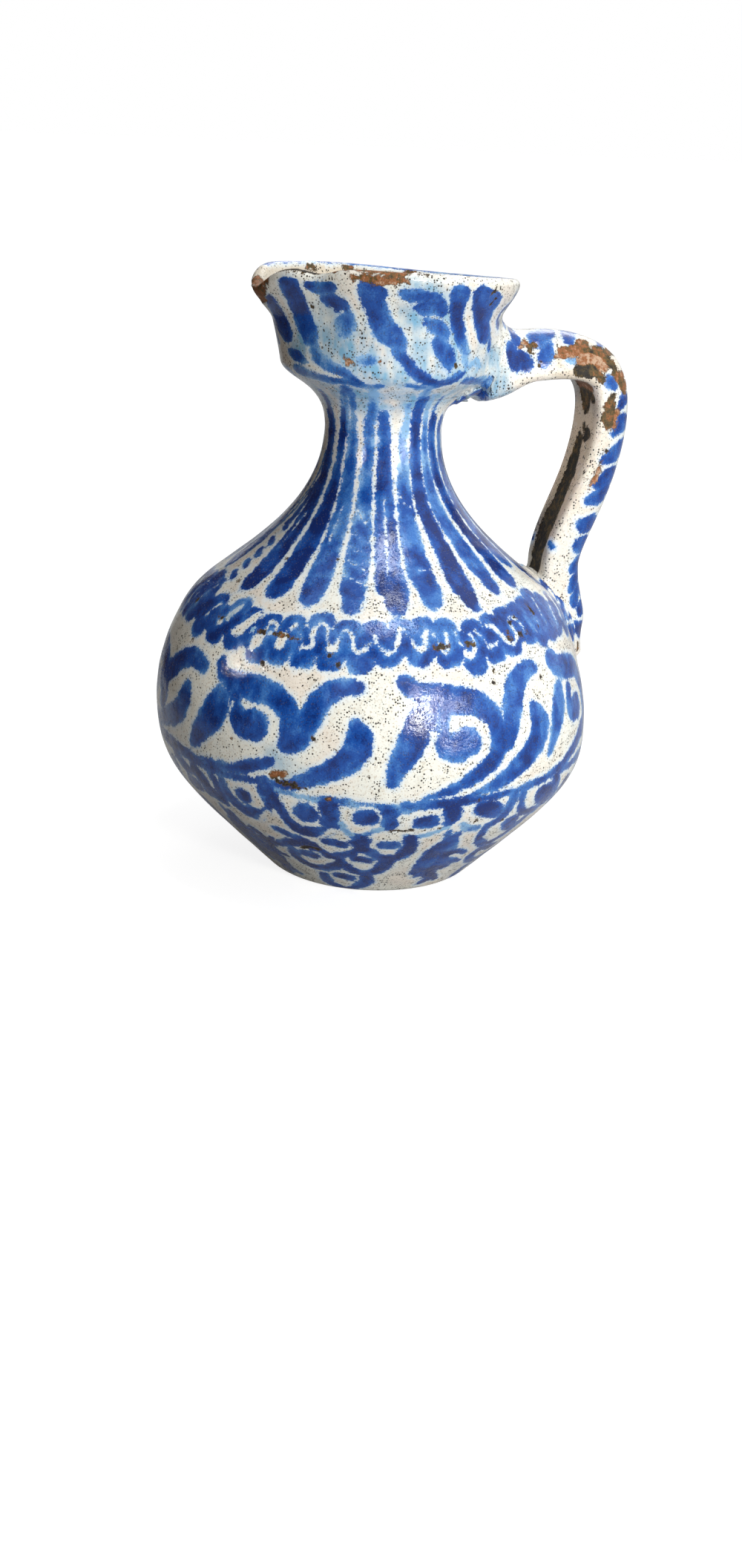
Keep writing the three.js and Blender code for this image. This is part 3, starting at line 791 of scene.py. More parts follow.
# %% Paint the vine
VINE_DARK = (
    (-75, 66, 3, -52, 63, 2.8, -40, 61.5, 1.8, -30, 62, 1.6, -26, 64, 1),
    (9, 57, 2.2, 20, 58, 2.4, 33, 58.5, 1.4, 45, 60, 1.6, 55, 62, 2, 63, 65.5, 2.4, 75, 74, 4),
    (60, 62, 2, 64, 61.5, 1.5, 78, 62, 2.4, 96, 60, 1.2),
)
VINE_PALE = ((-24.5, 60, 1, -18.5, 59, 1, -12, 58, 1.2),)
VINE_MIDDLE = ((-12, 58, 1.4, -7, 58.5, 1.5, 1, 56.5, 1.9), (1, 56.5, 1.9, 5.5, 56, 2.2, 10, 56, 2.4))
VINE_BEHIND = ((92, 58.5, 1.6, 130, 61, 2.2, 150, 59.5, 1.6, 190, 61.5, 2, 210, 60, 1.6, 250, 62.5, 2.2,
                287, 65.5, 2.8),)
paint(VINE_DARK, 0.85)
paint(VINE_PALE, 0.3)
paint(VINE_MIDDLE, 0.65)
paint(VINE_BEHIND, 0.7)
paint([(-48, 62.5, 2.5, -44, 62, 2.5, -41, 62.5, 2)], 0.9)

# %% [markdown]
# ## The lower belly: scales and leaves
# Below the vine hang five bunches of scales, like the skin of a fish: white ovals with a blue eye, each
# held in a deep blue U. Between the bunches stands a toothed leaf. The ground of a bunch is painted
# first as a row of U shapes, the ovals are left white inside them, and the eyes are dropped in last.

# %% Paint the scales
CUPS_SIDE = (
    (-41, 58, 2, -40, 50, 3.4, -35.5, 44.5, 4, -29.5, 48.5, 3.6, -27, 54, 3, -27.5, 59, 2.6),
    (36, 42, 2.6, 39.5, 46.5, 3, 41, 58, 2.6), (43.5, 59, 1.6, 45.5, 49.5, 1.8, 49, 45.5, 2.2, 56, 43.5, 3),
    (57.5, 60, 2.2, 60, 56, 2.2),
    (36, 41.5, 2, 37, 34.5, 2.1, 40.5, 30, 2.4, 45, 28, 2.4, 50, 31, 2.8, 53, 39.5, 3),
    (-62, 60, 3, -50, 50, 4, -44, 46, 3), (-45, 60, 2, -42.5, 49, 3),
)
PALE_SIDE = ((26.5, 46, 1.4, 29, 43, 1.8, 32.5, 42, 2),)
EYES_SIDE = (
    (-34.5, 53, 4.1), (30.5, 53.5, 3.8, 33.5, 52, 4.6, 36, 50, 4),
    (52.5, 54, 4.2, 56, 51.5, 5.6, 58.5, 49, 5.2),
    (-52, 56.5, 4.6), (44.5, 42, 3.6, 46.5, 40, 4.4, 48.5, 37, 3),
)
CUPS_MIDDLE = (
    (-26.5, 62, 2.3, -24, 52.5, 1.8, -22, 44, 2, -19.5, 40, 2.9, -16.5, 40, 3.3, -11, 42, 2.1),
    (-10, 56, 3.8, -10, 46, 3.4), (6, 54, 3.3, 6, 47, 2.6), (22, 55, 3.3, 22.5, 51, 3.3, 22, 48, 2),
    (-22.5, 34, 2.9, -19.5, 31.5, 3.4, -15, 26, 2.3, -11, 25, 2.3, -6.5, 27, 2.3, -2, 37.5, 3.3),
    (-2.5, 39, 2.9, -0.5, 32.5, 2.6, 3, 27.5, 2.3, 7, 26, 2.1, 10.5, 26.5, 2.4, 12.5, 31, 3.3,
     12.5, 39.5, 2.4),
    (-39.5, 33, 1.4, -36.5, 28, 1.5, -32, 27, 1.8, -23, 31.5, 2.9),
    (-27, 25, 1.8, -28, 20, 1.8, -24.5, 16, 1.8, -18, 15, 2.1, -11, 19, 2.5, -8.5, 23, 2.6, -9, 26.5, 2.3),
    (-9, 20.5, 2.3, -6, 16, 2, -1, 14.5, 1.9, 4.5, 17, 2.7, 8, 26, 3),
    (-3.5, 31, 2.2, -0.5, 31, 2.2, -2, 33, 2.6),
    (-20, 10, 1.8, -19.5, 5, 2, -15, 2, 1.5, -10, 1.5, 1.3, -5, 3.5, 1.7, -0.5, 8, 2.7, -0.5, 11, 2.3),
)
CUPS_PALE = (
    (22.5, 45, 0.9, 16.5, 41, 0.9, 11, 41, 0.8), (-7.5, 47, 1.6, -5, 41.5, 1.2, -2, 40.5, 1, 4, 45.5, 1.1),
)
LEFT_MASS = ((-30, 50, 3.6, -33, 42.5, 2.7), (-27.5, 55, 2.3))
LEFT_LIMB = ((-44.5, 27, 1.8, -42.5, 19, 2.1, -44, 13, 1.8, -46, 5, 0.8),)
OVALS = (
    (-16, 50.5, 6.4), (-22, 56.5, 1.9, -20, 53.5, 3.2), (-1, 51, 6.2, 0, 51, 6.2),
    (-6, 54, 2.6, -4, 50, 3.7, -2, 45, 2.4), (2, 54, 2.2), (14.5, 48, 5.6, 17, 49, 5.6),
    (9, 51, 2.2, 10.5, 47, 2.6, 14, 44, 2), (-12, 34, 4.7, -8, 33, 4.7),
    (-13, 38, 1.7, -9.5, 42, 2, -7.5, 40, 1.7),
    (4, 35, 4.8, 7.5, 35, 4.8), (2, 39.5, 1.7, 4, 41.5, 1.8, 7, 40.5, 1.8), (-29, 38, 3.3, -25, 35.5, 3.3),
    (-33.5, 38, 1.3, -28, 47, 2, -29, 41, 2.6), (-22, 24, 4, -19, 24, 4), (-16, 21.5, 1.9, -14, 21, 1.1),
    (-4, 23, 4.7, -1, 23, 4.7), (-11.5, 10.5, 4.8, -8, 10, 4.8), (-10, 16, 0.9),
)
EYES_MIDDLE = (
    (-16.5, 50.5, 5.2), (-1, 51, 4.5, 0, 51, 4.5), (14.5, 48.5, 3.6, 17, 49, 3.6),
    (-12, 35, 2.8, -8, 34, 2.8),
    (5, 35, 3.1, 8, 35, 3.1), (-28, 37.5, 2.1, -23, 34.5, 2.1), (-22.5, 24, 2.8, -19.5, 23.5, 2.8),
    (-3.5, 24.5, 2.7, 0, 24, 2.7), (-12, 11, 2.7, -8, 10, 2.7),
)


def bunch(shift=0, cups=CUPS_MIDDLE, ovals=OVALS, eyes=EYES_MIDDLE):
    """One bunch of scales: the deep blue ground, the ovals left white in it, and the eyes."""
    paint(cups, 0.95, shift, swell=0.8)
    leave_white(ovals, shift)
    paint(eyes, 0.95, shift, swell=0.3)


paint(CUPS_SIDE, 0.88)
paint(PALE_SIDE, 0.45)
paint(LEFT_MASS, 0.6)
paint(LEFT_LIMB, 1.0, swell=0.3)
paint([(-33.5, 30, 1.6, -37.5, 25, 2.2, -39.5, 15, 2.4, -39, 7.5, 1.4)], 1.1)
leave_white([(-36.5, 55.5, 4.6, -31, 51.5, 4.6)])
bunch()
paint(CUPS_PALE, 0.35, swell=0.2)
paint(EYES_SIDE, 0.92)
for shift in (144, 216, 288):
    bunch(shift)
bunch(72, CUPS_MIDDLE[7:9] + CUPS_MIDDLE[10:], OVALS[13:], EYES_MIDDLE[6:])
paint([(60, 56, 2.2, 64, 45.5, 2.4, 68, 43, 2.6, 73, 45, 2.8, 76, 56, 2.6)], 0.8)
paint([(68, 51, 5.2), (80.5, 52, 4.9)], 0.88)

# %% [markdown]
# The leaf is a thick stem of colour with teeth on its right side, pressed out with the flat of the
# brush.

# %% Paint the leaves
LEAF = (
    (26, 10.5, 2.4, 26, 16, 3.6, 27, 25, 4.4, 26.5, 34.5, 3),
    (21.5, 14, 2.7, 22, 24, 3.8, 24, 32, 4.2, 26.5, 39, 2.3),
    (29, 27, 3.3, 33, 27, 1.8, 37, 24.5, 0.5), (28, 22, 3.3, 34, 20, 2.1, 38.5, 18.5, 0.5),
    (28, 17, 2.9, 33, 16, 2, 34.5, 17, 0.5), (26.5, 13, 3.3, 32, 9, 2.2, 36, 6.5, 0.9),
    (30.5, 7.5, 2.2, 28, 5, 1.2), (24, 38, 1.3, 23.5, 42, 0.8),
)
LEAF_RING = ((22, 10, 1.8, 24.5, 9.5, 1.6),)
LEAF_DOT = ((22, 10.5, 0.8),)
for shift in (0, -71.5, 72, 144, 216):
    paint(LEAF, 0.95, shift, swell=0.5)
    paint([(25.5, 18, 4.5, 26.5, 24, 5, 27.5, 30, 4.4)], 0.8, shift)
    leave_white(LEAF_RING, shift)
    paint(LEAF_DOT, 0.7, shift)

# %% [markdown]
# ## The shoulder: a band of loops
# A broad blue band with rounded bumps above and below goes round the shoulder, and a white line loops
# up and down through it. The band is one long stroke with bumps pressed along both edges. The white
# line is left, or scratched, through it.

# %% Paint the band
BUMPS_ABOVE = (
    -68, 133, -57.5, 131, -46, 132, -40, 130, -32, 129, -24.5, 130, -16, 132, -7.5, 130.5, 0.5, 130.5,
    8.5, 131.5, 15.5, 132, 22, 131.5, 31.5, 130.5, 39, 131.5, 46, 133, 53, 133.5, 59.5, 134.5, 67, 136.5)
BUMPS_BELOW = (
    -69, 116, -60, 113, -51, 113, -42.5, 113, -33, 110.5, -26.5, 111.5, -19, 111.5, -11, 111.5, -3, 111.5,
    4.5, 114.5, 13.5, 114.5, 22, 114, 30, 110.5, 37, 114, 44, 115, 53, 118, 59, 116, 65.5, 116, 71, 119.5)
LOOPS_LEFT = (
    (-48.5, 123.5, 1.7, -47, 127.5, 1.9, -46.5, 129, 1.1), (-51, 121.5, 1.9),
    (-59, 121, 0.7, -58, 124.5, 0.7, -56, 127, 0.5), (-43, 119.5, 2.3, -41, 121.5, 2.8, -38, 127, 2.3),
    (-37, 122, 1.8), (-35, 116, 2.1, -34, 118.5, 2.8, -32.5, 120.5, 1.4),
    (-32.5, 122.5, 1, -32, 126, 1.2, -30, 125.5, 1.2, -29, 123.5, 1), (-31, 122, 1.6),
    (-26.5, 118.5, 2.3, -26.5, 121, 2.8, -26, 122, 1.5), (-25, 124, 1, -24, 126, 1.5),
)
LOOPS_RIGHT = (
    (-22, 125, 0.5, -20, 121, 0.6),
    (-20, 118.5, 1.2, -17, 120, 1.1, -17.5, 125, 1.2, -16, 128, 0.9, -13.5, 126.5, 0.7, -13, 122.5, 0.5,
     -12, 120.5, 0.7),
    (-12, 119.5, 1.5, -10, 120, 1.4, -9.5, 124.5, 0.5, -8, 126.5, 0.5, -6, 124.5, 0.6, -5, 120.5, 0.9,
     -3.5, 119, 1.1,
     -1, 121, 1), (-1.5, 122, 0.9, -0.5, 122, 0.9),
    (0.5, 125, 0.8, 2, 121.5, 0.8, 4.5, 119, 1, 7, 121.5, 1.2, 8, 128, 0.9),
    (9, 127.5, 0.5, 11, 124.5, 0.7, 13, 120.5, 1.4, 15, 121.5, 1.4, 15.5, 125, 1.4, 17, 127.5, 0.6,
     19.5, 122, 0.5,
     21, 119, 1.1, 22, 121.5, 1, 22, 126, 0.6),
    (25, 126, 0.5, 26.5, 121, 0.5, 27.5, 118, 1.5, 29.5, 118, 1.7, 30.5, 121, 1, 30, 125, 0.7),
    (32, 126, 0.5, 34, 123, 0.7, 35, 120.5, 1.1, 36.5, 120, 1.5, 39, 121, 0.4),
    (37, 127, 1.2, 39, 126.5, 1.2, 42, 121.5, 1.2, 44.5, 119.5, 1.1, 47, 122, 1.1, 46.5, 127, 0.8,
     48.5, 128.5, 1.1,
     51, 126, 0.7, 51, 122, 0.5),
    (55, 127, 0.5, 56.5, 122, 0.6, 59, 121, 0.5), (68, 132, 0.4, 65, 126, 0.4, 65, 123, 0.4),
    (60, 126, 0.4, 60, 124, 0.4),
)


def round_the_back(pairs, period=141):
    """The seen run of (turn, height) pairs, and its repeats to both sides as far as the back."""
    seen = np.array(pairs, float).reshape(-1, 2)
    right_side, left_side = seen + (period, 0), seen - (period, 0)
    right_side = right_side[right_side[:, 0] < 180]
    left_side = left_side[left_side[:, 0] > -180]
    return np.vstack([left_side, seen, right_side])


def bump(turn, height, radius):
    return (turn - 0.6, height, radius, turn + 0.6, height, radius)


above, below = round_the_back(BUMPS_ABOVE), round_the_back(BUMPS_BELOW)
band_middle = [(turn, 0.5 * (np.interp(turn, *above.T) + np.interp(turn, *below.T)), 6.3)
               for turn in np.arange(-182, 183, 7)]
paint([np.ravel(band_middle)], 0.8)
paint([bump(turn, height - 3.7, 4.6) for turn, height in above], 0.82)
paint([bump(turn, height + 3.7, 4.6) for turn, height in below], 0.78)
leave_white(LOOPS_LEFT)
leave_white(LOOPS_RIGHT)
leave_white(LOOPS_LEFT + LOOPS_RIGHT, 132)
leave_white(LOOPS_RIGHT, -135)
wash(LOOPS_LEFT[:1] + LOOPS_LEFT[4:5] + LOOPS_LEFT[7:8] + LOOPS_RIGHT[:1] + LOOPS_RIGHT[3:4], 1.0, 1.0)

# %% [markdown]
# ## The neck: long strokes
# Two dozen long strokes run down the neck and fan out over the shoulder. Each is pulled downwards in one
# go with a full brush, and ends in a rounded foot. Some are solid and dark, some thin and watery, and
# every few strokes there is a sprig made of slanting dabs.

# %% Paint the neck
NECK_STROKES = (
    # load, then height, left turn, right turn
    (0.95, 210, -37, -32, 205, -42.5, -34, 198, -44.5, -38, 185, -45.5, -39.5, 170, -45, -36, 155, -43.5, -33,
     139, -42, -33),
    (0.62, 208, -33, -28, 190, -34.5, -25.5, 180, -33.5, -24, 168, -31, -21, 147, -28.5, -19,
     139, -27.5, -19),
    (0.9, 205, -65, -55.5, 185, -64, -53.5, 165, -60, -50, 145, -57, -47, 139, -56, -47.5),
    (0.55, 203, -16.5, -10, 185, -16.5, -9, 170, -16, -6.5, 155, -14.5, -4.5, 140, -13, -4, 137.5, -11, -4.5),
    (0.8, 205.5, -3.5, 4, 195, -2.5, 6.5, 170, -2, 9.5, 150, 0, 10.5, 140, 1, 12, 138, 4, 11.5),
    (0.6, 196, 17.5, 22.5, 180, 16, 24.5, 165, 14, 24, 145, 14.5, 24.5, 140, 17, 25),
    (0.92, 213, 26.5, 35, 195, 29, 37.5, 175, 28, 37.5, 155, 31, 40, 140, 31, 40, 138, 33, 39),
    (0.58, 200, 42.5, 47, 185, 42, 49, 168, 41.5, 50.5, 155, 44.5, 54.5, 145, 46, 55, 142, 47.5, 54),
    (0.88, 204, 50, 58, 190, 51.5, 61, 175, 54.5, 64.5, 160, 58.5, 67, 150, 60, 69.5, 143, 59.5, 68.5),
    (0.75, 203, 67, 75, 175, 69, 79, 160, 71, 81, 148, 72, 82),
)
NECK_GAPS = (
    (-26.5, 168, 0.3, -27, 160, 0.5, -26.5, 154, 0.3), (-55, 163, 0.3, -55.5, 156, 0.5, -55, 149, 0.3),
    (3, 174, 0.3, 4.5, 160, 0.6, 5, 144, 0.3), (20, 147, 0.6, 24.5, 146, 0.6),
    (-16, 168, 0.4, -11, 164, 0.5, -7, 162.5, 0.4), (-15.5, 160.5, 0.4, -10, 157.5, 0.6, -5, 156, 0.4),
    (-14, 154, 0.5, -4.5, 151.5, 0.6), (-13, 149, 0.5, -4, 146, 0.6), (-13.5, 144.5, 0.5, -3.5, 141, 0.5),
    (14, 176, 0.3, 18, 171, 0.4, 23, 169, 0.3),
)


NECK_DABS = (
    (0.55, (-25, 218, 2.2, -28, 213.5, 3, -33, 207.5, 3.1, -35, 200.5, 2.6)),
    (0.35, (-7, 219, 1.6, -8, 213, 1.7, -11.5, 203, 1.8)), (0.6, (27, 218.5, 1.6, 28, 215, 2)),
    (0.25, (20, 211, 0.6, 22, 204, 0.9, 22, 198, 1.2)), (0.3, (36.5, 215.5, 0.8, 43.5, 202, 0.8)),
    (0.8, (47, 214.5, 0.5, 49, 208.5, 0.7, 52.5, 204, 0.9)), (0.85, (-54.5, 214, 1.2, -60, 203, 1.7)),
    (0.8, (-64, 175, 0.8, -64.5, 165, 1.4, -65.5, 158.5, 1.4)),
    *((0.85, (-67, height, 1.4, -64, height - 1.4, 1.8)) for height in (157.5, 151, 146, 141.5, 137)),
    (0.7, (-68, 171, 0.5, -74, 158, 0.7, -79.5, 142, 1.2, -79, 137, 1.2)),
    (0.6, (-67, 187, 0.4, -68, 176, 0.4, -80, 157.5, 0.4, -87, 148, 0.4, -88, 141, 0.5)),
    (0.75, (-67, 133, 2, -77, 132.5, 1.6, -85.5, 130.5, 1.2)),
)

for load, *edges in NECK_STROKES:
    fill(edges, (load - 0.02, load + 0.16), swell=0.5, head=2.5, foot=6.0)
for turn in (90, 105, 120, 135, 150, 165, 180, 195, 210, 225, 240, 255, 268, 281):
    load, *edges = NECK_STROKES[(turn // 15) % len(NECK_STROKES)]
    fill(edges, load, turn - 0.5 * (edges[-5] + edges[-4]), 0.5, 2.5, 6.0)
for load, dab in NECK_DABS:
    paint([dab], load, swell=0.25)
leave_white([(-28, 214.5, 0.3, -34, 200.5, 0.4, -36.5, 188, 0.4)])
leave_white(NECK_GAPS)
print("body painted")

# %% [markdown]
# ## The collar: leaning strokes, triangles and a crease
# The collar carries a free rhythm of slanting strokes, small hanging triangles made of dabs and a long
# S. A thin line follows the crease under it, where cobalt gathered and ran.

# %% Paint the collar
COLLAR_BROAD = (
    # load at the top and at the foot, then height, left turn, right turn
    ((0.9, 0.9), (255.5, -66, -61.5, 250, -70, -60.5, 245, -73.5, -59, 240, -70.5, -56, 234.5, -63.5, -57)),
    ((0.7, 0.7), (232, -61.5, -53, 229, -60.5, -48, 226.5, -55.5, -45)),
    ((0.98, 0.62), (260, -52, -43.5, 249, -53, -42, 241, -50.5, -39, 233.5, -45.5, -38)),
    ((0.85, 0.7), (260, -39, -27, 257.5, -40, -23.5, 254.5, -33.5, -26.5)),
    ((0.95, 0.72), (259.5, -12, -6, 256, -13, -0.5, 252.5, -12, -2, 246, -9.5, 2, 241.5, -7.5, 7.5,
                    238, -4, 10,
                    234.5, 4, 9.5)),
    ((0.92, 0.6), (260, 28.5, 35, 256.5, 27.5, 37.5, 250, 30.5, 37.5, 243, 34, 41.5, 237.5, 38, 45,
                   232.5, 43.5, 49)),
    ((0.98, 0.82), (260, 41, 46, 256.5, 39, 59.5, 249, 45, 60, 243, 50, 63.5, 237.5, 55, 65.5)),
)
COLLAR_DABS = (
    (0.88, (-31, 253, 2.2, -26, 252, 3, -22.5, 250, 3.4)),
    (0.55, (-20.5, 247, 2.2, -21.5, 243.5, 4.2, -22.5, 240, 1.6)),
    (0.8, (6, 256, 1.4, 9, 255.5, 2.6, 13, 255, 2.8, 22, 255, 1.9)),
    (0.85, (13, 251, 1.2, 16.5, 251, 3, 20.5, 251.5, 3.8, 24, 251.5, 3.2, 26.5, 249, 1.4)),
    (0.85, (19.5, 245.5, 1.6, 25, 244, 2.8, 30.5, 241, 1.8)),
    (0.8, (25.5, 238.5, 2.2, 30, 235, 3.5, 34, 230.5, 3, 35, 228, 1.6)),
    (0.5, (-41, 233, 1.8, -36, 229.5, 2, -28.5, 226, 1.8)),
    (0.82, (5, 234.5, 1.8, 12, 229, 2, 20, 224, 2.2, 27, 222, 1.8, 37, 221.5, 1.2, 46, 225.5, 0.6)),
    (0.45, (45, 232, 1.2, 47, 229, 1)), (0.6, (64.5, 239, 0.9, 67, 235.5, 1.2, 68, 234, 0.6)),
    (0.85, (78, 257, 1, 80, 254, 1.4, 74, 251, 1.4, 72, 248, 1.2, 74, 245, 1, 79, 243.5, 1.4)),
    (0.5, (-12.5, 230, 1.6, -9, 230, 2, -6, 230, 1.2)),
    (0.35, (50, 228.5, 0.8, 54.5, 230, 0.9, 59.5, 227.5, 0.8)),
)
COLLAR_WHITE = ((-29, 246, 0.4, -22, 248, 0.5),)
CREASE = (
    (-56, 223, 2, -38, 221, 1.9, -22, 220.5, 1.5, -8, 219, 1.5, -2, 220, 0.9),
    (-40, 229, 1.2, -26, 225.5, 1.8, -13.5, 220.5, 1.4),
    (13, 220.5, 0.8, 23, 219.5, 1.4, 32, 220.5, 1.2, 42, 225.5, 0.7),
)
CREASE_BEHIND = ((50, 222, 1.6, 64, 221, 2, 80, 222, 1.4), (132, 222, 1.6, 150, 221, 2.4, 170, 222.5, 2.2,
                  190, 221, 1.8, 230, 221.5, 2.8, 292, 221, 2.6))
for load, edges in COLLAR_BROAD:
    fill(edges, load)
for load, edges in COLLAR_BROAD[2:]:
    fill(edges, load, 145)
for load, edges in COLLAR_BROAD[4:6]:
    fill(edges, load, 228)
fill(COLLAR_BROAD[2][1], 0.85, 325)
for load, dab in COLLAR_DABS:
    paint([dab], load, swell=0.3)
for load, dab in COLLAR_DABS[:7]:
    paint([dab], load, 145)
for load, dab in COLLAR_DABS[2:6]:
    paint([dab], load, 228)
leave_white(COLLAR_WHITE)
leave_white(COLLAR_WHITE, 145)
paint(CREASE + CREASE_BEHIND, 0.55, swell=0.4)
wash([(-52, 232, 3, -40, 237, 4, -30, 236, 6, -20, 235, 7, -10, 232, 7, -2, 228, 6, 8, 225, 5)], 0.95, 6)
wash([(-34, 248, 3, -16, 240, 4, -10, 236, 4)], 0.5, 6)
wash([(10, 259, 2, 20, 258, 2.2, 27, 250, 2.5, 35, 239, 2.5, 42, 232, 4, 45, 227, 4)], 0.9, 4)
wash([(8, 247, 3, 14, 246, 3, 20, 238, 4, 24, 228, 4, 40, 228, 4, 60, 230, 4, 75, 228, 4)], 0.75, 6)
wash([(-55, 216, 3, -30, 214, 4, 0, 213, 4, 30, 214, 4, 60, 216, 4)], 0.9, 8)
wash([(100, 214, 4, 140, 212, 5, 180, 214, 5, 220, 212, 5, 260, 214, 5, 298, 214, 4)], 0.4, 9)
wash([(-2, 220, 1, 6, 221, 1.4, 13, 221, 1)], 0.8, 3)
print("collar painted")

# %% [markdown]
# ## The handle: dashes along its sides
# The handle is held by its flat inner face and painted with a row of short dabs that run down both of
# its sides, thick over the dome and pointed at the edge. A place on the handle is a share of the way
# round its section, from the middle of the flat face, and how far along the three curves it lies. The
# dabs of the side that can be seen are drawn one by one, and the far side repeats them turned over.

# %% Paint the handle
def on_handle(share, along):
    """Places on the swept skin, between its rings and columns."""
    row = 3 + np.clip(np.asarray(along, float), 0, 3) / 3 * HANDLE_ALONG
    column = np.asarray(share, float) * HANDLE_AROUND
    top, left = np.floor(row).astype(int), np.floor(column).astype(int)
    down, over = (row - top)[:, None], (column - left)[:, None]

    def at(i, j):
        return handle_rings[np.minimum(i, HANDLE_ALONG + 3), j % HANDLE_AROUND]

    spots = (at(top, left) * (1 - over) + at(top, left + 1) * over) * (1 - down) + (
        at(top + 1, left) * (1 - over) + at(top + 1, left + 1) * over) * down
    return lean(spots)


DABS = (
    (0.75, 0.1, 2, 0.72, 0.1, 3.4, 0.655, 0.09, 2.6), (0.625, 0.125, 1.8, 0.595, 0.125, 2.2, 0.5, 0.115, 1),
    (0.655, 0.02, 0.8, 0.62, 0.03, 1.6, 0.52, 0.04, 1.2),
    (0.75, 0.225, 1.8, 0.72, 0.24, 2.8, 0.645, 0.265, 1.4),
    (0.635, 0.205, 1.6, 0.585, 0.235, 4.4, 0.55, 0.285, 3.4),
    (0.62, 0.37, 1.6, 0.56, 0.38, 3, 0.5, 0.42, 1.8),
    (0.59, 0.56, 0.9, 0.53, 0.57, 1.5), (0.76, 0.725, 1.2, 0.74, 0.74, 2.4, 0.72, 0.78, 1.3),
    (0.7, 0.925, 1.2, 0.65, 0.895, 2.8, 0.62, 0.89, 2),
    (0.725, 1.065, 1.2, 0.68, 1.025, 3.5, 0.64, 1.015, 3.8,
     0.59, 1.02, 2.2), (0.76, 1.215, 1.2, 0.7, 1.185, 3, 0.65, 1.15, 3.7, 0.59, 1.11, 2),
    (0.745, 1.355, 1.8, 0.69, 1.315, 3.6, 0.64, 1.28, 4.1),
    (0.765, 1.465, 1, 0.73, 1.435, 2.6, 0.67, 1.41, 3.4,
     0.64, 1.36, 3.2), (0.73, 1.61, 2.2, 0.69, 1.61, 3.5, 0.64, 1.585, 4, 0.615, 1.58, 3.2),
    (0.69, 1.78, 1.4, 0.66, 1.765, 3.3, 0.61, 1.75, 4.4), (0.66, 2.02, 1.4, 0.62, 1.96, 3, 0.58, 1.86, 2),
    (0.67, 2.245, 1.4, 0.635, 2.17, 2.6, 0.57, 2.05, 1.8), (0.665, 2.43, 2, 0.655, 2.4, 2.6, 0.62, 2.31, 1.8,
     0.59, 2.28, 2.1, 0.555, 2.34, 2.2, 0.535, 2.38, 1.4), (0.625, 2.56, 1.8, 0.6, 2.53, 3, 0.57, 2.49, 2.4),
    (0.69, 2.66, 1, 0.655, 2.74, 3.1, 0.63, 2.76, 3.4, 0.6, 2.75, 2), (0.89, 1.825, 0.8, 0.86, 1.84, 1.1),
)


def turned_over(strokes, later=0.02):
    """The same strokes on the other side of the handle, a little further along."""
    return [(np.array(stroke).reshape(-1, 3) * (-1, 1, 1) + (1, later, 0)).ravel() for stroke in strokes]


paint(DABS, 0.88, place=on_handle, on=("handle", "pad"), swell=0.4)
paint(turned_over(DABS), 0.88, place=on_handle, on=("handle", "pad"), swell=0.4)
paint([(0.745, 0.36, 0.8, 0.74, 0.40, 1)], 0.5, place=on_handle, on=("handle",))
paint([(0.755, 0.14, 2.6, 0.735, 0.15, 3.3, 0.69, 0.13, 2.4)], 0.85, place=on_handle, on=("handle",))
wad_middle, wad_half = np.array((ROOT[0] - 1, 0, ROOT[1] - 6)), (17.5, 15, 7.6)


def on_wad(turn, rise):
    """Places on the wad under the root, by a turn from the outside and a rise, both in degrees."""
    a, b = np.radians(np.asarray(turn, float)), np.radians(np.asarray(rise, float))
    way = np.stack([np.cos(a) * np.cos(b), np.sin(a) * np.cos(b), np.sin(b)], 1)
    return lean(wad_middle + wad_half * way)


paint([(-100, -26, 2.6, -88, -30, 3.2, -76, -40, 2.8)], 0.8, place=on_wad, on=("wad", "handle", "collar"))
wash([(-130, -20, 5, -90, -5, 6, -60, -20, 4)], 0.8, 5, on_wad, ("wad", "handle", "collar"))
print("handle painted")
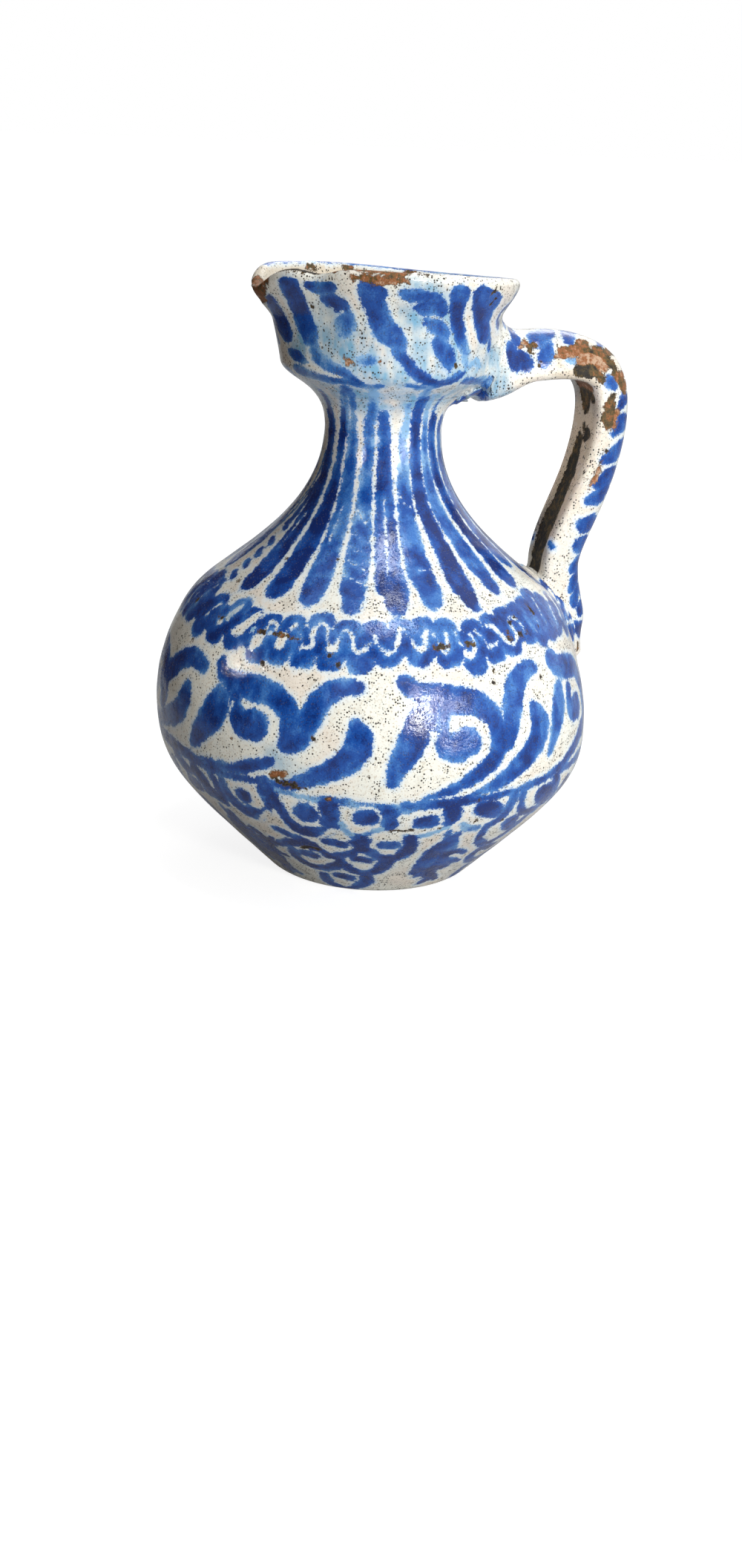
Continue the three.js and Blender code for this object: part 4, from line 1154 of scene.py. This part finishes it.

# %% [markdown]
# ## Where the glaze has gone
# Tin glaze sits on the clay like a shell, and flakes off where the pot was knocked or rubbed: along the
# rim, at the tip of the beak, on the crown of the handle and where hands held its inner face. Old flakes
# are dark with grime, fresh ones show pale clay. A flake is a stroke like the painted ones, with a number
# for its clay, from 0 for olive black to 1 for pale ochre.
# A few of the darkest marks laid as flakes are painted shade: lines along the near rim, a crease near the
# handle's tail, the gap under the wad, and in part the strip down the handle's inner face.

# %% Flake the handle
HANDLE_FLAKES_AND_SHADE = (
    # The first row and the 0.1 row lay a near-black strip down the middle of the flat inner face: partly bare
    # clay, partly painted shade where that face turns to the body.
    (0.12, ((1, 1.54, 6.2, 1, 1.75, 7, 1, 2.2, 5),)),
    (0.3, ((0.66, 0.47, 2.2, 0.645, 0.6, 2.7, 0.65, 0.7, 2.2),)),
    (0.28, ((1, 0.78, 6, 0.95, 0.8, 3.6, 0.91, 0.84, 2), (1, 0.9, 5, 0.98, 0.94, 2))),
    (0.6, ((1, 0.55, 6, 0.93, 0.55, 4, 0.92, 0.62, 5, 1, 0.66, 7, 0.95, 0.68, 5),)),
    (0.1, ((1.02, 1.15, 3.6, 1.01, 1.3, 5, 1, 1.54, 6), (0.955, 1.32, 0.8, 0.95, 1.36, 0.8))),
    (0.02, ((0.97, 1.11, 2, 0.955, 1.1, 3.2, 0.92, 1.1, 1), (1, 1.065, 1.6),
            (0.965, 1.43, 0.9, 0.945, 1.44, 0.9))),
    (0.2, ((0.815, 0.455, 1.6, 0.8, 0.46, 3.2, 0.77, 0.53, 3.7),)),
    (0.38, ((0.775, 0.56, 2.4, 0.78, 0.65, 1.8, 0.8, 0.68, 0.8),)),
    (0.42, ((0.755, 0.85, 1.6, 0.785, 0.95, 3.3, 0.79, 1, 3.2, 0.775, 1.02, 2.6),
            (0.655, 0.53, 3, 0.64, 0.56, 3.6, 0.62, 0.59, 3.2, 0.66, 0.6, 2.4))),
    (0.82, ((0.735, 0.46, 3, 0.69, 0.52, 4.2, 0.7, 0.57, 3.8, 0.72, 0.6, 2.6),)),
    (0.56, ((0.69, 0.32, 1.6, 0.665, 0.41, 3, 0.64, 0.44, 3, 0.59, 0.47, 1.4),)),
    (0.5, ((0.6, 0.6, 2.5, 0.55, 0.64, 2.2),
           (0.665, 0.72, 2.6, 0.635, 0.8, 3.7, 0.62, 0.84, 2.4, 0.6, 0.78, 3))),
    (0.7, ((0.72, 0.3, 1.2, 0.69, 0.38, 2.2), (0.74, 1.03, 1.4, 0.725, 0.95, 1.5))),
    (0.35, ((0.68, 0.18, 1.2, 0.645, 0.185, 1.6, 0.635, 0.2, 1.4), (0.775, 1.17, 0.6, 0.75, 1.16, 0.8),
            (0.84, 1.335, 0.9), (0.845, 1.07, 0.6), (0.865, 2.27, 0.7, 0.82, 2.325, 1.2),
            (0.83, 2.35, 0.5, 0.81, 2.4, 0.6), (0.7, 2.88, 0.5, 0.71, 2.93, 0.8))),
    (0.8, ((0.65, 0.14, 1, 0.625, 0.165, 1.4), (0.77, 1.26, 1.2, 0.775, 1.32, 1.3, 0.785, 1.38, 0.8))),
    # In the next row the thin dark line near the tail is painted shade in a crease; its dots are dark flakes.
    (0.12, ((0.76, 0.21, 0.8), (0.77, 1.225, 0.8), (0.865, 1.315, 0.7),
            (0.765, 2.58, 0.35, 0.735, 2.72, 0.5))),
)
for bare, flakes in HANDLE_FLAKES_AND_SHADE:
    flake_and_shade(flakes, bare, on_handle, ("handle",))
wash([(1, 0.45, 9, 1, 0.8, 11, 1, 1.1, 12, 1, 1.5, 11, 1, 1.9, 8)], 0.9, 6, on_handle, ("handle",), "stain")
wash([(0.78, 0.35, 4, 0.76, 0.5, 6, 0.74, 0.65, 5)], 0.6, 5, on_handle, ("handle",), "stain")
print("handle flaked")

# %% [markdown]
# On the rim a place is a turn and a share of the way over its rounded top, from outside to inside.

# %% Flake the rim, the beak and the walls
def on_rim(turn, over):
    angle = np.radians(np.asarray(turn, float) - 106)
    crest = np.vstack([collar_line[-1:], rim, collar_inside[:6]])
    along = np.linspace(0, 1, len(crest))
    radius, height = np.interp(over, along, crest[:, 0]), np.interp(over, along, crest[:, 1])
    return pinch(np.stack([radius * np.cos(angle), radius * np.sin(angle), height], 1))


RIM_FLAKES_AND_SHADOW_LINES = (
    (0.5, ((-38, 0.45, 0.9, -32, 0.42, 1.5, -18, 0.42, 2, -7, 0.36, 2.3, 3, 0.3, 2.8, 6.5, 0.34, 2.6,
            9.5, 0.5, 1),)),
    (0.66, ((-62, 0.3, 3.4, -66, 0.5, 4.4, -72, 0.6, 4.8, -78, 0.6, 4.4, -82, 0.4, 3.6),)),
    (0.42, ((47, 0.45, 1, 56, 0.5, 1), (229, 0.72, 1.3, 224, 0.8, 1.5), (204, 0.74, 1.2, 201, 0.8, 1.5),
            (168, 0.65, 1.6, 172, 0.75, 1.8))),
    (0.2, ((-36, 0.3, 0.9, -32, 0.42, 0.9, -29, 0.6, 0.6), (12.5, 0.3, 0.9), (16.5, 0.25, 0.8),
           (22, 0.4, 0.5))),
    # The two dark lines of the next row, along the near rim's crest and just inside it, are painted shadow
    # where the near rim meets the far inner wall.
    (0.14, ((-63, 0.3, 1.2, -36, 0.32, 1.5), (-24, 0.62, 0.8, 9, 0.6, 0.8))),
)
for bare, flakes in RIM_FLAKES_AND_SHADOW_LINES:
    flake_and_shade(flakes, bare, on_rim, ("rim",))
UNDER_THE_RIM = (
    (-15, 260.5, 1.3, -4, 260, 1.8, 7, 260.5, 1.4), (-65, 259, 2.6, -74, 258, 3.6, -86, 256, 3),
    (-68, 255, 2, -76, 253, 3),
)
flake_and_shade(UNDER_THE_RIM, 0.62, on=("rim",))
paint([(88, 0.34, 0.7, 110, 0.42, 0.8, 140, 0.42, 0.7, 170, 0.42, 0.9, 200, 0.42, 0.8, 225, 0.42, 0.7),
       (262, 0.4, 0.8, 240, 0.42, 0.9, 225, 0.42, 0.7)], 0.75, place=on_rim, on=("rim",))
RIM_STAIN = ((85, 0.8, 5, 120, 0.8, 6, 160, 0.8, 6, 200, 0.8, 6, 240, 0.8, 6, 275, 0.8, 6),)
wash(RIM_STAIN, 0.7, 4, on_rim, ("rim",), "stain")
WALL_FLAKES = (
    (0.8, ((-25.5, 66, 0.8, -23, 67, 1.6, -20.5, 67.5, 0.9), (-9.5, 59, 0.6), (-36, 79, 0.6),
           (-22, 230, 0.5, -20.5, 228.5, 1, -19.5, 227.5, 0.4), (-19, 229.5, 0.4, -17.5, 228, 0.8),
           (-3, 229.5, 0.4))),
    (0.15, ((-13, 84.5, 0.5), (-7.5, 80.5, 0.4), (0.5, 70, 0.2),
            (-24, 65, 0.6, -20, 63.5, 1, -15.5, 62.5, 0.5),
            (34.5, 106.5, 0.7), (35.5, 110.5, 0.6), (52.5, 104.5, 0.7), (-60, 110.5, 0.8),
            (10.5, 44, 0.6, 12.5, 44, 0.7),
            (16, 44, 0.7), (20, 44.5, 0.7), (-22, 28, 0.8, -19, 29, 1.1, -16, 28.5, 0.8), (-10, 58.5, 0.5),
            (29, 57.5, 0.6), (41, 44, 0.8), (30.5, 46.5, 0.9), (6, 44, 0.5, 9, 44, 0.7), (39, 229, 0.7))),
    (0.32, ((-34.5, 122, 0.9, -33, 122, 0.8), (-29, 122, 0.8, -25, 122, 0.8, -21, 121.5, 0.6),
            (18, 121, 0.9, 19.5, 121, 1.1, 22, 121.5, 0.9), (28, 122, 0.8, 30, 121.5, 0.7),
            (43.5, 123.5, 1, 44, 122, 1.3))),
    (0.05, ((-52, 123, 0.9, -51, 123, 0.8), (-71, 124, 0.9), (-11, 117, 0.9), (-8.5, 114, 0.8),
            (-30, 111, 0.6, -29.5, 109.5, 0.7),
            (50, 128, 1.1), (47, 127, 0.8), (48.5, 122.5, 1.2, 50, 122, 0.7), (52, 123, 0.6),
            (59.5, 123, 0.6),
            (61, 130, 0.5, 61, 127.5, 0.5))),
    (0.1, ((50.5, 257, 0.5, 52.5, 259, 0.5), (54, 253, 0.4, 55.5, 255, 0.5))),
    (0.3, ((59.5, 132.5, 0.5), (46.5, 136.5, 0.5, 47, 134, 0.5), (-58.5, 135.5, 0.7), (12, 136, 0.6),
           (-45, 146.5, 0.6),
           (-17.5, 149, 0.5), (-40, 250, 0.5, -39, 249.5, 0.5))),
)
for bare, flakes in WALL_FLAKES:
    flake_and_shade(flakes, bare, on=("body", "collar", "wad", "pad"))
# A dark olive mark under the wad where it meets the neck on the near side: painted shadow in the gap between
# the root and the neck.
flake_and_shade([(-158, -62, 1, -145, -66, 1.6, -130, -66, 1)], 0.12, on_wad, ("wad", "body", "collar"))
print("flakes done")

# %% Give the marks to the meshes
for canvas in list(canvases.values())[:5]:
    sunk = 0.35 * smooth_step((canvas.marks["flake_and_shade"] + 0.4) / 1.0)
    mesh = canvas.part.data
    write_points(mesh, read_points(mesh) - sunk[:, None] * skins[canvas.part.name][1])
    for name, values in canvas.marks.items():
        layer = canvas.part.data.attributes.new(name, "FLOAT", "POINT")
        layer.data.foreach_set("value", values.astype(np.float32))

# %% [markdown]
# ## The finish
# Tin glaze is a thick opaque white glass. On this jug it is warm and pocked all over with pinholes,
# where gas bubbles burst in the kiln and grime has settled since. Cobalt sinks into it and spreads a
# little, so strokes have soft ragged edges, pale halos and cloudy insides. Where the glaze has flaked
# the clay shows, dry and brown or olive. Each of these three is a node group that gives colours, masks
# and heights, and the glazes of the four kinds of member share them, so the finish runs over the joints
# unbroken. Noise in object space stands for what a painter would have to dab in by hand.

# %% Small helpers for shader trees
def linear(code):
    """A colour written as a web colour, in the linear numbers a shader wants."""
    parts = [int(code[i:i + 2], 16) / 255 for i in (1, 3, 5)]
    return tuple(p / 12.92 if p <= 0.04045 else ((p + 0.055) / 1.055) ** 2.4 for p in parts) + (1.0,)


def between(tree, value, low, high, start=0.0, end=1.0):
    made = node(tree, "ShaderNodeMapRange", {
        "Value": value, "From Min": low, "From Max": high, "To Min": start, "To Max": end},
        interpolation_type="SMOOTHSTEP")
    return made.outputs["Result"]


def tint(tree, amount, first, second, blend="MIX"):
    made = node(tree, "ShaderNodeMix", {0: amount, 6: first, 7: second}, data_type="RGBA", blend_type=blend)
    return made.outputs[2]


def noise(tree, where, per_mm, detail=2.0, rough=0.5):
    made = node(tree, "ShaderNodeTexNoise", {
        "Vector": where, "Scale": per_mm, "Detail": detail, "Roughness": rough})
    return made.outputs[0]


def cells(tree, where, per_mm):
    """Distance to the nearest of scattered seeds in millimetres, and a chance from 0 to 1 for each."""
    made = node(tree, "ShaderNodeTexVoronoi", {"Vector": where, "Scale": per_mm})
    chance = node(tree, "ShaderNodeSeparateColor", {0: made.outputs["Color"]})
    return maths(tree, "DIVIDE", made.outputs["Distance"], per_mm), chance.outputs


def in_millimetres(tree):
    place = node(tree, "ShaderNodeTexCoord").outputs["Object"]
    return node(tree, "ShaderNodeVectorMath", {0: place, "Scale": 1000.0}, operation="SCALE").outputs[0]


def shader_group(name, inputs, outputs):
    tree = bpy.data.node_groups.new(name, "ShaderNodeTree")
    kinds = {"c": "NodeSocketColor", "f": "NodeSocketFloat"}
    for way, sockets in (("INPUT", inputs), ("OUTPUT", outputs)):
        for label, kind in sockets:
            tree.interface.new_socket(label, in_out=way, socket_type=kinds[kind])
    given = tree.nodes.new("NodeGroupInput").outputs
    given_back = tree.nodes.new("NodeGroupOutput").inputs
    return tree, given, given_back


def attribute(tree, name):
    return node(tree, "ShaderNodeAttribute", attribute_name=name).outputs["Fac"]


print("shader helpers ready")

# %% [markdown]
# ### Tin glaze
# Warm white with slow changes of tone, two sizes of pinhole, and a skin like orange peel.

# %% Group: tin glaze
def tin_glaze():
    tree, _, out = shader_group(
        "tin_glaze", (), (("Colour", "c"), ("Pinholes", "f"), ("Roughness", "f"), ("Height", "f")))
    at = in_millimetres(tree)
    slow = noise(tree, at, 0.03, 2.0)
    middle = noise(tree, at, 0.16, 3.0)
    fine = noise(tree, at, 1.1, 3.0, 0.6)
    small_gap, small_chance = cells(tree, at, 1.0)
    large_gap, large_chance = cells(tree, at, 0.2)
    crowding = between(tree, middle, 0.36, 0.58, 0.55, 1.0)
    small_size = maths(tree, "MULTIPLY", between(tree, small_chance[0], 0.0, 1.0, 0.06, 0.44), crowding)
    large_size = between(tree, large_chance[0], 0.40, 1.0, 0.0, 0.58)
    pin = maths(tree, "MAXIMUM",
                between(tree, maths(tree, "SUBTRACT", small_gap, small_size), -0.06, 0.04, 1.0, 0.0),
                between(tree, maths(tree, "SUBTRACT", large_gap, large_size), -0.10, 0.10, 1.0, 0.0))
    shade = tint(tree, between(tree, slow, 0.42, 0.60), linear("#f3f3ea"), linear("#efe6da"))
    shade = tint(tree, between(tree, middle, 0.45, 0.70, 0.0, 0.5), shade, linear("#dfdccf"))
    shade = tint(tree, between(tree, fine, 0.50, 0.72, 0.0, 0.75), shade, linear("#c6b6a2"))
    tree.links.new(shade, out["Colour"])
    tree.links.new(pin, out["Pinholes"])
    gloss = maths(tree, "ADD", between(tree, fine, 0.3, 0.7, 0.03, 0.10), maths(tree, "MULTIPLY", pin, 0.4))
    tree.links.new(gloss, out["Roughness"])
    peel = maths(tree, "ADD", maths(tree, "MULTIPLY", noise(tree, at, 0.5, 4.0, 0.66), 0.15),
                 maths(tree, "MULTIPLY", noise(tree, at, 0.09, 1.0), 0.55))
    tree.links.new(maths(tree, "SUBTRACT", peel, maths(tree, "MULTIPLY", pin, 0.12)), out["Height"])
    return tree


# %% [markdown]
# ### Cobalt
# The depth inside the strokes, shaken by noise, decides where the colour ends. The load decides how
# dark it is, and pools and granules vary it.

# %% Group: cobalt in the glaze
def cobalt():
    tree, given, out = shader_group("cobalt", (
        ("Glaze", "c"), ("Pinholes", "f"), ("Depth", "f"), ("Load", "f"), ("Wash", "f")), (("Colour", "c"),))
    at = in_millimetres(tree)
    pulled = node(tree, "ShaderNodeVectorMath", {0: at, 1: (1, 1, 0.3)}, operation="MULTIPLY").outputs[0]
    cloud = noise(tree, at, 0.10, 3.0)
    streak = noise(tree, pulled, 0.26, 3.0)
    grit = noise(tree, at, 1.5, 2.0)
    shake = maths(tree, "ADD", between(tree, noise(tree, at, 0.85, 4.0, 0.75), 0.25, 0.75, -0.5, 0.95),
                  between(tree, noise(tree, at, 0.22, 2.0), 0.3, 0.7, -0.35, 0.55))
    depth = maths(tree, "ADD", given["Depth"], shake)
    inside = between(tree, depth, -0.2, 0.4)
    clean = between(tree, depth, -2.6, -0.5, 0.0, 0.8)
    bleed = between(tree, depth, -0.8, 0.1, 0.0, 0.55)
    shade = tint(tree, clean, given["Glaze"], linear("#e6edf0"))
    watery = maths(tree, "MULTIPLY", given["Wash"], maths(
        tree, "ADD", between(tree, cloud, 0.3, 0.7, 0.15, 1.0), between(tree, streak, 0.3, 0.7, -0.1, 0.5)))
    shade = tint(tree, maths(tree, "MINIMUM", watery, 1.0), shade, linear("#7fb2d2"))
    shade = tint(tree, bleed, shade, linear("#9cc0e2"))
    thin = between(tree, given["Depth"], -0.2, 2.4, -0.18, 0.05)
    uneven = maths(tree, "ADD", between(tree, cloud, 0.30, 0.70, -0.30, 0.20),
                   between(tree, grit, 0.25, 0.75, -0.10, 0.10))
    uneven = maths(tree, "ADD", uneven, between(tree, streak, 0.25, 0.75, -0.10, 0.10))
    tone = maths(tree, "ADD", maths(tree, "ADD", given["Load"], thin), uneven)
    light = tint(tree, between(tree, tone, 0.05, 0.5), linear("#8cb9e0"), linear("#3f77c0"))
    deep = tint(tree, between(tree, tone, 0.78, 1.12), linear("#194c9f"), linear("#112d70"))
    blue = tint(tree, between(tree, tone, 0.42, 0.82), light, deep)
    painted = tint(tree, inside, shade, blue)
    seen = maths(tree, "SUBTRACT", 1.0, maths(tree, "MULTIPLY", maths(tree, "ADD", clean, inside), 0.36))
    dotted = tint(tree, maths(tree, "MULTIPLY", given["Pinholes"], seen), painted, linear("#2b221b"))
    tree.links.new(dotted, out["Colour"])
    return tree


# %% [markdown]
# ### Flaked glaze
# A flake leaves a crisp edge and rough clay lying lower. The dark line along its edge, on the glaze just
# outside and on the clay just inside, is grime and also painted shade of the glaze's step.

# %% Group: flakes down to the clay
def flaked():
    tree, given, out = shader_group(
        "flaked", (("Colour", "c"), ("Roughness", "f"), ("Height", "f"), ("Depth", "f"), ("Bare", "f")),
        (("Colour", "c"), ("Roughness", "f"), ("Height", "f")))
    at = in_millimetres(tree)
    edge = noise(tree, at, 0.36, 5.0, 0.72)
    mottle = noise(tree, at, 0.34, 4.0, 0.66)
    grain = noise(tree, at, 1.3, 3.0)
    depth = maths(tree, "ADD", given["Depth"], between(tree, edge, 0.25, 0.75, -1.3, 1.3))
    gone = between(tree, depth, -0.08, 0.14)
    # grime and painted shade of the glaze's step, on the glaze just outside a flake
    grime_and_step_shade = maths(tree, "MULTIPLY", between(tree, depth, -0.6, 0.05), 0.7)
    tone = maths(tree, "ADD", given["Bare"], between(tree, mottle, 0.25, 0.75, -0.34, 0.30))
    tone = maths(tree, "ADD", tone, between(tree, grain, 0.25, 0.75, -0.12, 0.12))
    dark = tint(tree, between(tree, tone, 0.0, 0.40), linear("#1e1812"), linear("#5b4a26"))
    light = tint(tree, between(tree, tone, 0.60, 1.0), linear("#93592f"), linear("#c0a085"))
    clay = tint(tree, between(tree, tone, 0.34, 0.64), dark, light)
    # clay painted darker just inside the edge: grime and painted shade under the glaze's step
    clay = tint(tree, between(tree, depth, 0.0, 0.55, 0.75, 0.0), clay, linear("#3a2c1e"))
    shade = tint(tree, grime_and_step_shade, given["Colour"], linear("#70583f"))
    tree.links.new(tint(tree, gone, shade, clay), out["Colour"])
    dry = node(tree, "ShaderNodeMix", {0: gone, 2: given["Roughness"], 3: 0.62}, data_type="FLOAT")
    tree.links.new(dry.outputs[0], out["Roughness"])
    sunk = maths(tree, "MULTIPLY", gone, maths(tree, "ADD", 0.45, maths(tree, "MULTIPLY", grain, -0.45)))
    tree.links.new(maths(tree, "SUBTRACT", given["Height"], sunk), out["Height"])
    return tree


tin_glaze_group, cobalt_group, flaked_group = tin_glaze(), cobalt(), flaked()

# %% [markdown]
# ### The glazes of the members
# All four are built alike. The jug looks wet where it shines, so the glass has its own sharp gloss over
# a softer body.

# %% Build the four glazes
def build_glaze(material, warmth):
    material.use_nodes = True
    tree = material.node_tree
    tree.nodes.clear()
    skin = node(tree, "ShaderNodeGroup", node_tree=tin_glaze_group).outputs
    warm = tint(tree, warmth, skin["Colour"], linear("#d9c8b0"), "MULTIPLY")
    warm = tint(tree, attribute(tree, "stain"), warm, linear("#c9b79d"))
    blue = node(tree, "ShaderNodeGroup", node_tree=cobalt_group)
    for socket, source in (("Glaze", warm), ("Pinholes", skin["Pinholes"]),
                           ("Depth", attribute(tree, "cobalt")), ("Load", attribute(tree, "load")),
                           ("Wash", attribute(tree, "wash"))):
        tree.links.new(source, blue.inputs[socket])
    # flakes of bare clay, and the few dark marks of painted shade that are laid as flakes
    worn = node(tree, "ShaderNodeGroup", node_tree=flaked_group)
    for socket, source in (("Colour", blue.outputs[0]), ("Roughness", skin["Roughness"]),
                           ("Height", skin["Height"]), ("Depth", attribute(tree, "flake_and_shade")),
                           ("Bare", attribute(tree, "bare"))):
        tree.links.new(source, worn.inputs[socket])
    relief = node(tree, "ShaderNodeBump", {
        "Height": worn.outputs["Height"], "Strength": 1.0, "Distance": 0.001})
    clay = node(tree, "ShaderNodeBsdfPrincipled", {
        "Base Color": worn.outputs["Colour"], "Roughness": worn.outputs["Roughness"], "IOR": 1.45,
        "Normal": relief.outputs[0]})
    node(tree, "ShaderNodeOutputMaterial", {"Surface": clay.outputs[0]})


WARMTHS = (("body_glaze", 0.04), ("collar_glaze", 0.0), ("handle_glaze", 0.08), ("luting_glaze", 0.04))
for name, warmth in WARMTHS:
    build_glaze(glazes[name], warmth)
print("glazes built")

# %% [markdown]
# ## Camera, light and paper
# The jug was photographed on white, from a little above the belly, in daylight that falls from the
# right and from above.

# %% The camera
VIEW_TURN, VIEW_DOWN, VIEW_ROLL = math.radians(-16), math.radians(18.5), math.radians(2.65)
level = Vector((-math.sin(VIEW_TURN), math.cos(VIEW_TURN), 0))
across = Vector((math.cos(VIEW_TURN), math.sin(VIEW_TURN), 0))
looking = level * math.cos(VIEW_DOWN) - Vector((0, 0, 1)) * math.sin(VIEW_DOWN)
upward = level * math.sin(VIEW_DOWN) + Vector((0, 0, 1)) * math.cos(VIEW_DOWN)
right = across * math.cos(VIEW_ROLL) + upward * math.sin(VIEW_ROLL)
top = upward * math.cos(VIEW_ROLL) - across * math.sin(VIEW_ROLL)
camera = bpy.data.objects.new("camera", bpy.data.cameras.new("camera"))
bpy.context.scene.collection.objects.link(camera)
camera.matrix_world = Matrix.Translation((-0.2330, -0.8195, 0.3204)) @ Matrix(
    (right, top, -looking)).transposed().to_4x4()
camera.data.sensor_fit = "AUTO"
camera.data.sensor_width = 36
camera.data.lens = 45.13
bpy.context.scene.camera = camera

# %% Lamps
def lamp(name, turn, rise, distance, size, power, colour=(1, 1, 1), at=(0, 0, 0.12), spread=180):
    """A square soft lamp that looks at a place on the jug from a turn and a rise in degrees."""
    made = bpy.data.objects.new(name, bpy.data.lights.new(name, "AREA"))
    bpy.context.scene.collection.objects.link(made)
    angle, up = math.radians(turn - 106), math.radians(rise)
    way = Vector((math.cos(angle) * math.cos(up), math.sin(angle) * math.cos(up), math.sin(up)))
    made.location = Vector(at) + way * distance
    made.rotation_euler = way.to_track_quat("Z", "Y").to_euler()
    made.data.size = size
    made.data.energy = power
    made.data.color = colour
    made.data.spread = math.radians(spread)
    return made


lamp("window", 28, 13, 1.6, 0.24, 13.4, (1.0, 1.0, 0.97))
lamp("ceiling", 28, 76, 1.6, 0.38, 7.2, (0.98, 1.0, 1.0))
lamp("handle_lamp", -42, 8, 0.6, 0.04, 0.006, (1.0, 0.92, 0.86), (0.085, 0, 0.185), 10)
lamp("left_glint", -80, 19, 0.36, 0.018, 0.0007, (1.0, 0.93, 0.84), (-0.072, -0.053, 0.1085), 12)
lamp("fill", -8, 22, 1.6, 0.7, 1.6, (1.0, 0.94, 0.86))
lamp("low_window", 45, 4, 1.6, 0.35, 6.2)
lamp("back_light", 165, 35, 1.6, 0.6, 4)

# %% [markdown]
# The floor is a wide white sheet of paper. The camera sees paper white all round the jug, and the floor
# still takes the soft shadow under the base.

# %% Paper and air
world = bpy.context.scene.world or bpy.data.worlds.new("air")
bpy.context.scene.world = world
world.use_nodes = True
air = world.node_tree
air.nodes.clear()
ray = air.nodes.new("ShaderNodeLightPath").outputs
seen = maths(air, "ADD", ray["Is Camera Ray"], ray["Is Transmission Ray"])
seen = maths(air, "MINIMUM", maths(air, "ADD", seen, ray["Is Glossy Ray"]), 1.0)
soft = node(air, "ShaderNodeBackground", {"Color": (0.96, 0.99, 1.0, 1), "Strength": 0.6})
white = node(air, "ShaderNodeBackground", {"Color": (1, 1, 1, 1), "Strength": 1.0})
mixed = node(air, "ShaderNodeMixShader", {0: seen, 1: soft.outputs[0], 2: white.outputs[0]})
node(air, "ShaderNodeOutputWorld", {"Surface": mixed.outputs[0]})

paper = bpy.data.meshes.new("floor")
WIDE = 30.0
corners = [(-WIDE, -WIDE, 0), (WIDE, -WIDE, 0), (WIDE, WIDE, 0), (-WIDE, WIDE, 0)]
paper.from_pydata(corners, [], [(0, 1, 2, 3)])
floor = link(paper, "floor")
sheet = bpy.data.materials.new("paper")
sheet.use_nodes = True
sheet.node_tree.nodes.clear()
ray = sheet.node_tree.nodes.new("ShaderNodeLightPath").outputs
matt = node(sheet.node_tree, "ShaderNodeBsdfDiffuse", {"Color": (0.34, 0.34, 0.34, 1)})
glow = node(sheet.node_tree, "ShaderNodeEmission", {"Color": (1, 1, 1, 1), "Strength": 0.86})
both = node(sheet.node_tree, "ShaderNodeAddShader", {0: matt.outputs[0], 1: glow.outputs[0]})
seen = maths(sheet.node_tree, "MAXIMUM", ray["Is Glossy Ray"], ray["Is Transmission Ray"])
pale = node(sheet.node_tree, "ShaderNodeBsdfDiffuse", {"Color": (0.5, 0.5, 0.5, 1)})
glint = node(sheet.node_tree, "ShaderNodeEmission", {"Color": (1, 1, 1, 1), "Strength": 0.04})
lit = node(sheet.node_tree, "ShaderNodeAddShader", {0: pale.outputs[0], 1: glint.outputs[0]})
shown = node(sheet.node_tree, "ShaderNodeMixShader", {0: seen, 1: matt.outputs[0], 2: lit.outputs[0]})
shown = node(sheet.node_tree, "ShaderNodeMixShader", {
    0: ray["Is Camera Ray"], 1: shown.outputs[0], 2: both.outputs[0]})
node(sheet.node_tree, "ShaderNodeOutputMaterial", {"Surface": shown.outputs[0]})
paper.materials.append(sheet)

# %% [markdown]
# A photographer keeps the front and the left of a shiny pot dark with screens of brown cloth, so that the
# glaze shows its own colour there and the edge stands out against the paper. Each screen is a part of a
# drum round the jug: a wide one that passes behind the camera, and a low one close by on the left. The
# camera looks through them, so they show in the glaze alone, wherever the jug is seen from.

# %% The dark screens
cloth = bpy.data.materials.new("brown_cloth")
cloth.use_nodes = True
cloth.node_tree.nodes.clear()
dull = node(cloth.node_tree, "ShaderNodeBsdfDiffuse", {"Color": (0.07, 0.045, 0.032, 1)})
clear = node(cloth.node_tree, "ShaderNodeBsdfTransparent", {"Color": (1, 1, 1, 1)})
ray = cloth.node_tree.nodes.new("ShaderNodeLightPath").outputs
hung = node(cloth.node_tree, "ShaderNodeMixShader", {
    0: ray["Is Camera Ray"], 1: dull.outputs[0], 2: clear.outputs[0]})
node(cloth.node_tree, "ShaderNodeOutputMaterial", {"Surface": hung.outputs[0]})


def screen(name, radius, height, from_turn, to_turn):
    turns = np.radians(np.linspace(from_turn, to_turn, 30) - 106)
    points = [(radius * math.cos(a), radius * math.sin(a), z) for a in turns for z in (0.0, height)]
    mesh = bpy.data.meshes.new(name)
    mesh.from_pydata(points, [], [(2 * i, 2 * i + 2, 2 * i + 3, 2 * i + 1) for i in range(len(turns) - 1)])
    mesh.materials.append(cloth)
    link(mesh, name)


screen("far_screen", 2.3, 3.2, -160, 10)
screen("near_screen", 0.5, 1.1, -146, -60)

view = bpy.context.scene.view_settings
view.view_transform = "Standard"

# %% [markdown]
# ## Hand over
# Every visible piece rides on the jug's one rigid body and stands for the member of the imported model that
# it shows.

# %% Tie the pieces to the frame
members = (
    (body, "thrown_body", "body_glaze"), (collar, "mouth_collar", "collar_glaze"),
    (handle, "strap_handle", "handle_glaze"), (upper_luting, "upper_handle_luting", "luting_glaze"),
    (lower_luting, "lower_handle_luting", "luting_glaze"))
for piece, member, finish in members:
    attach(piece, "root")
    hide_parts(member)
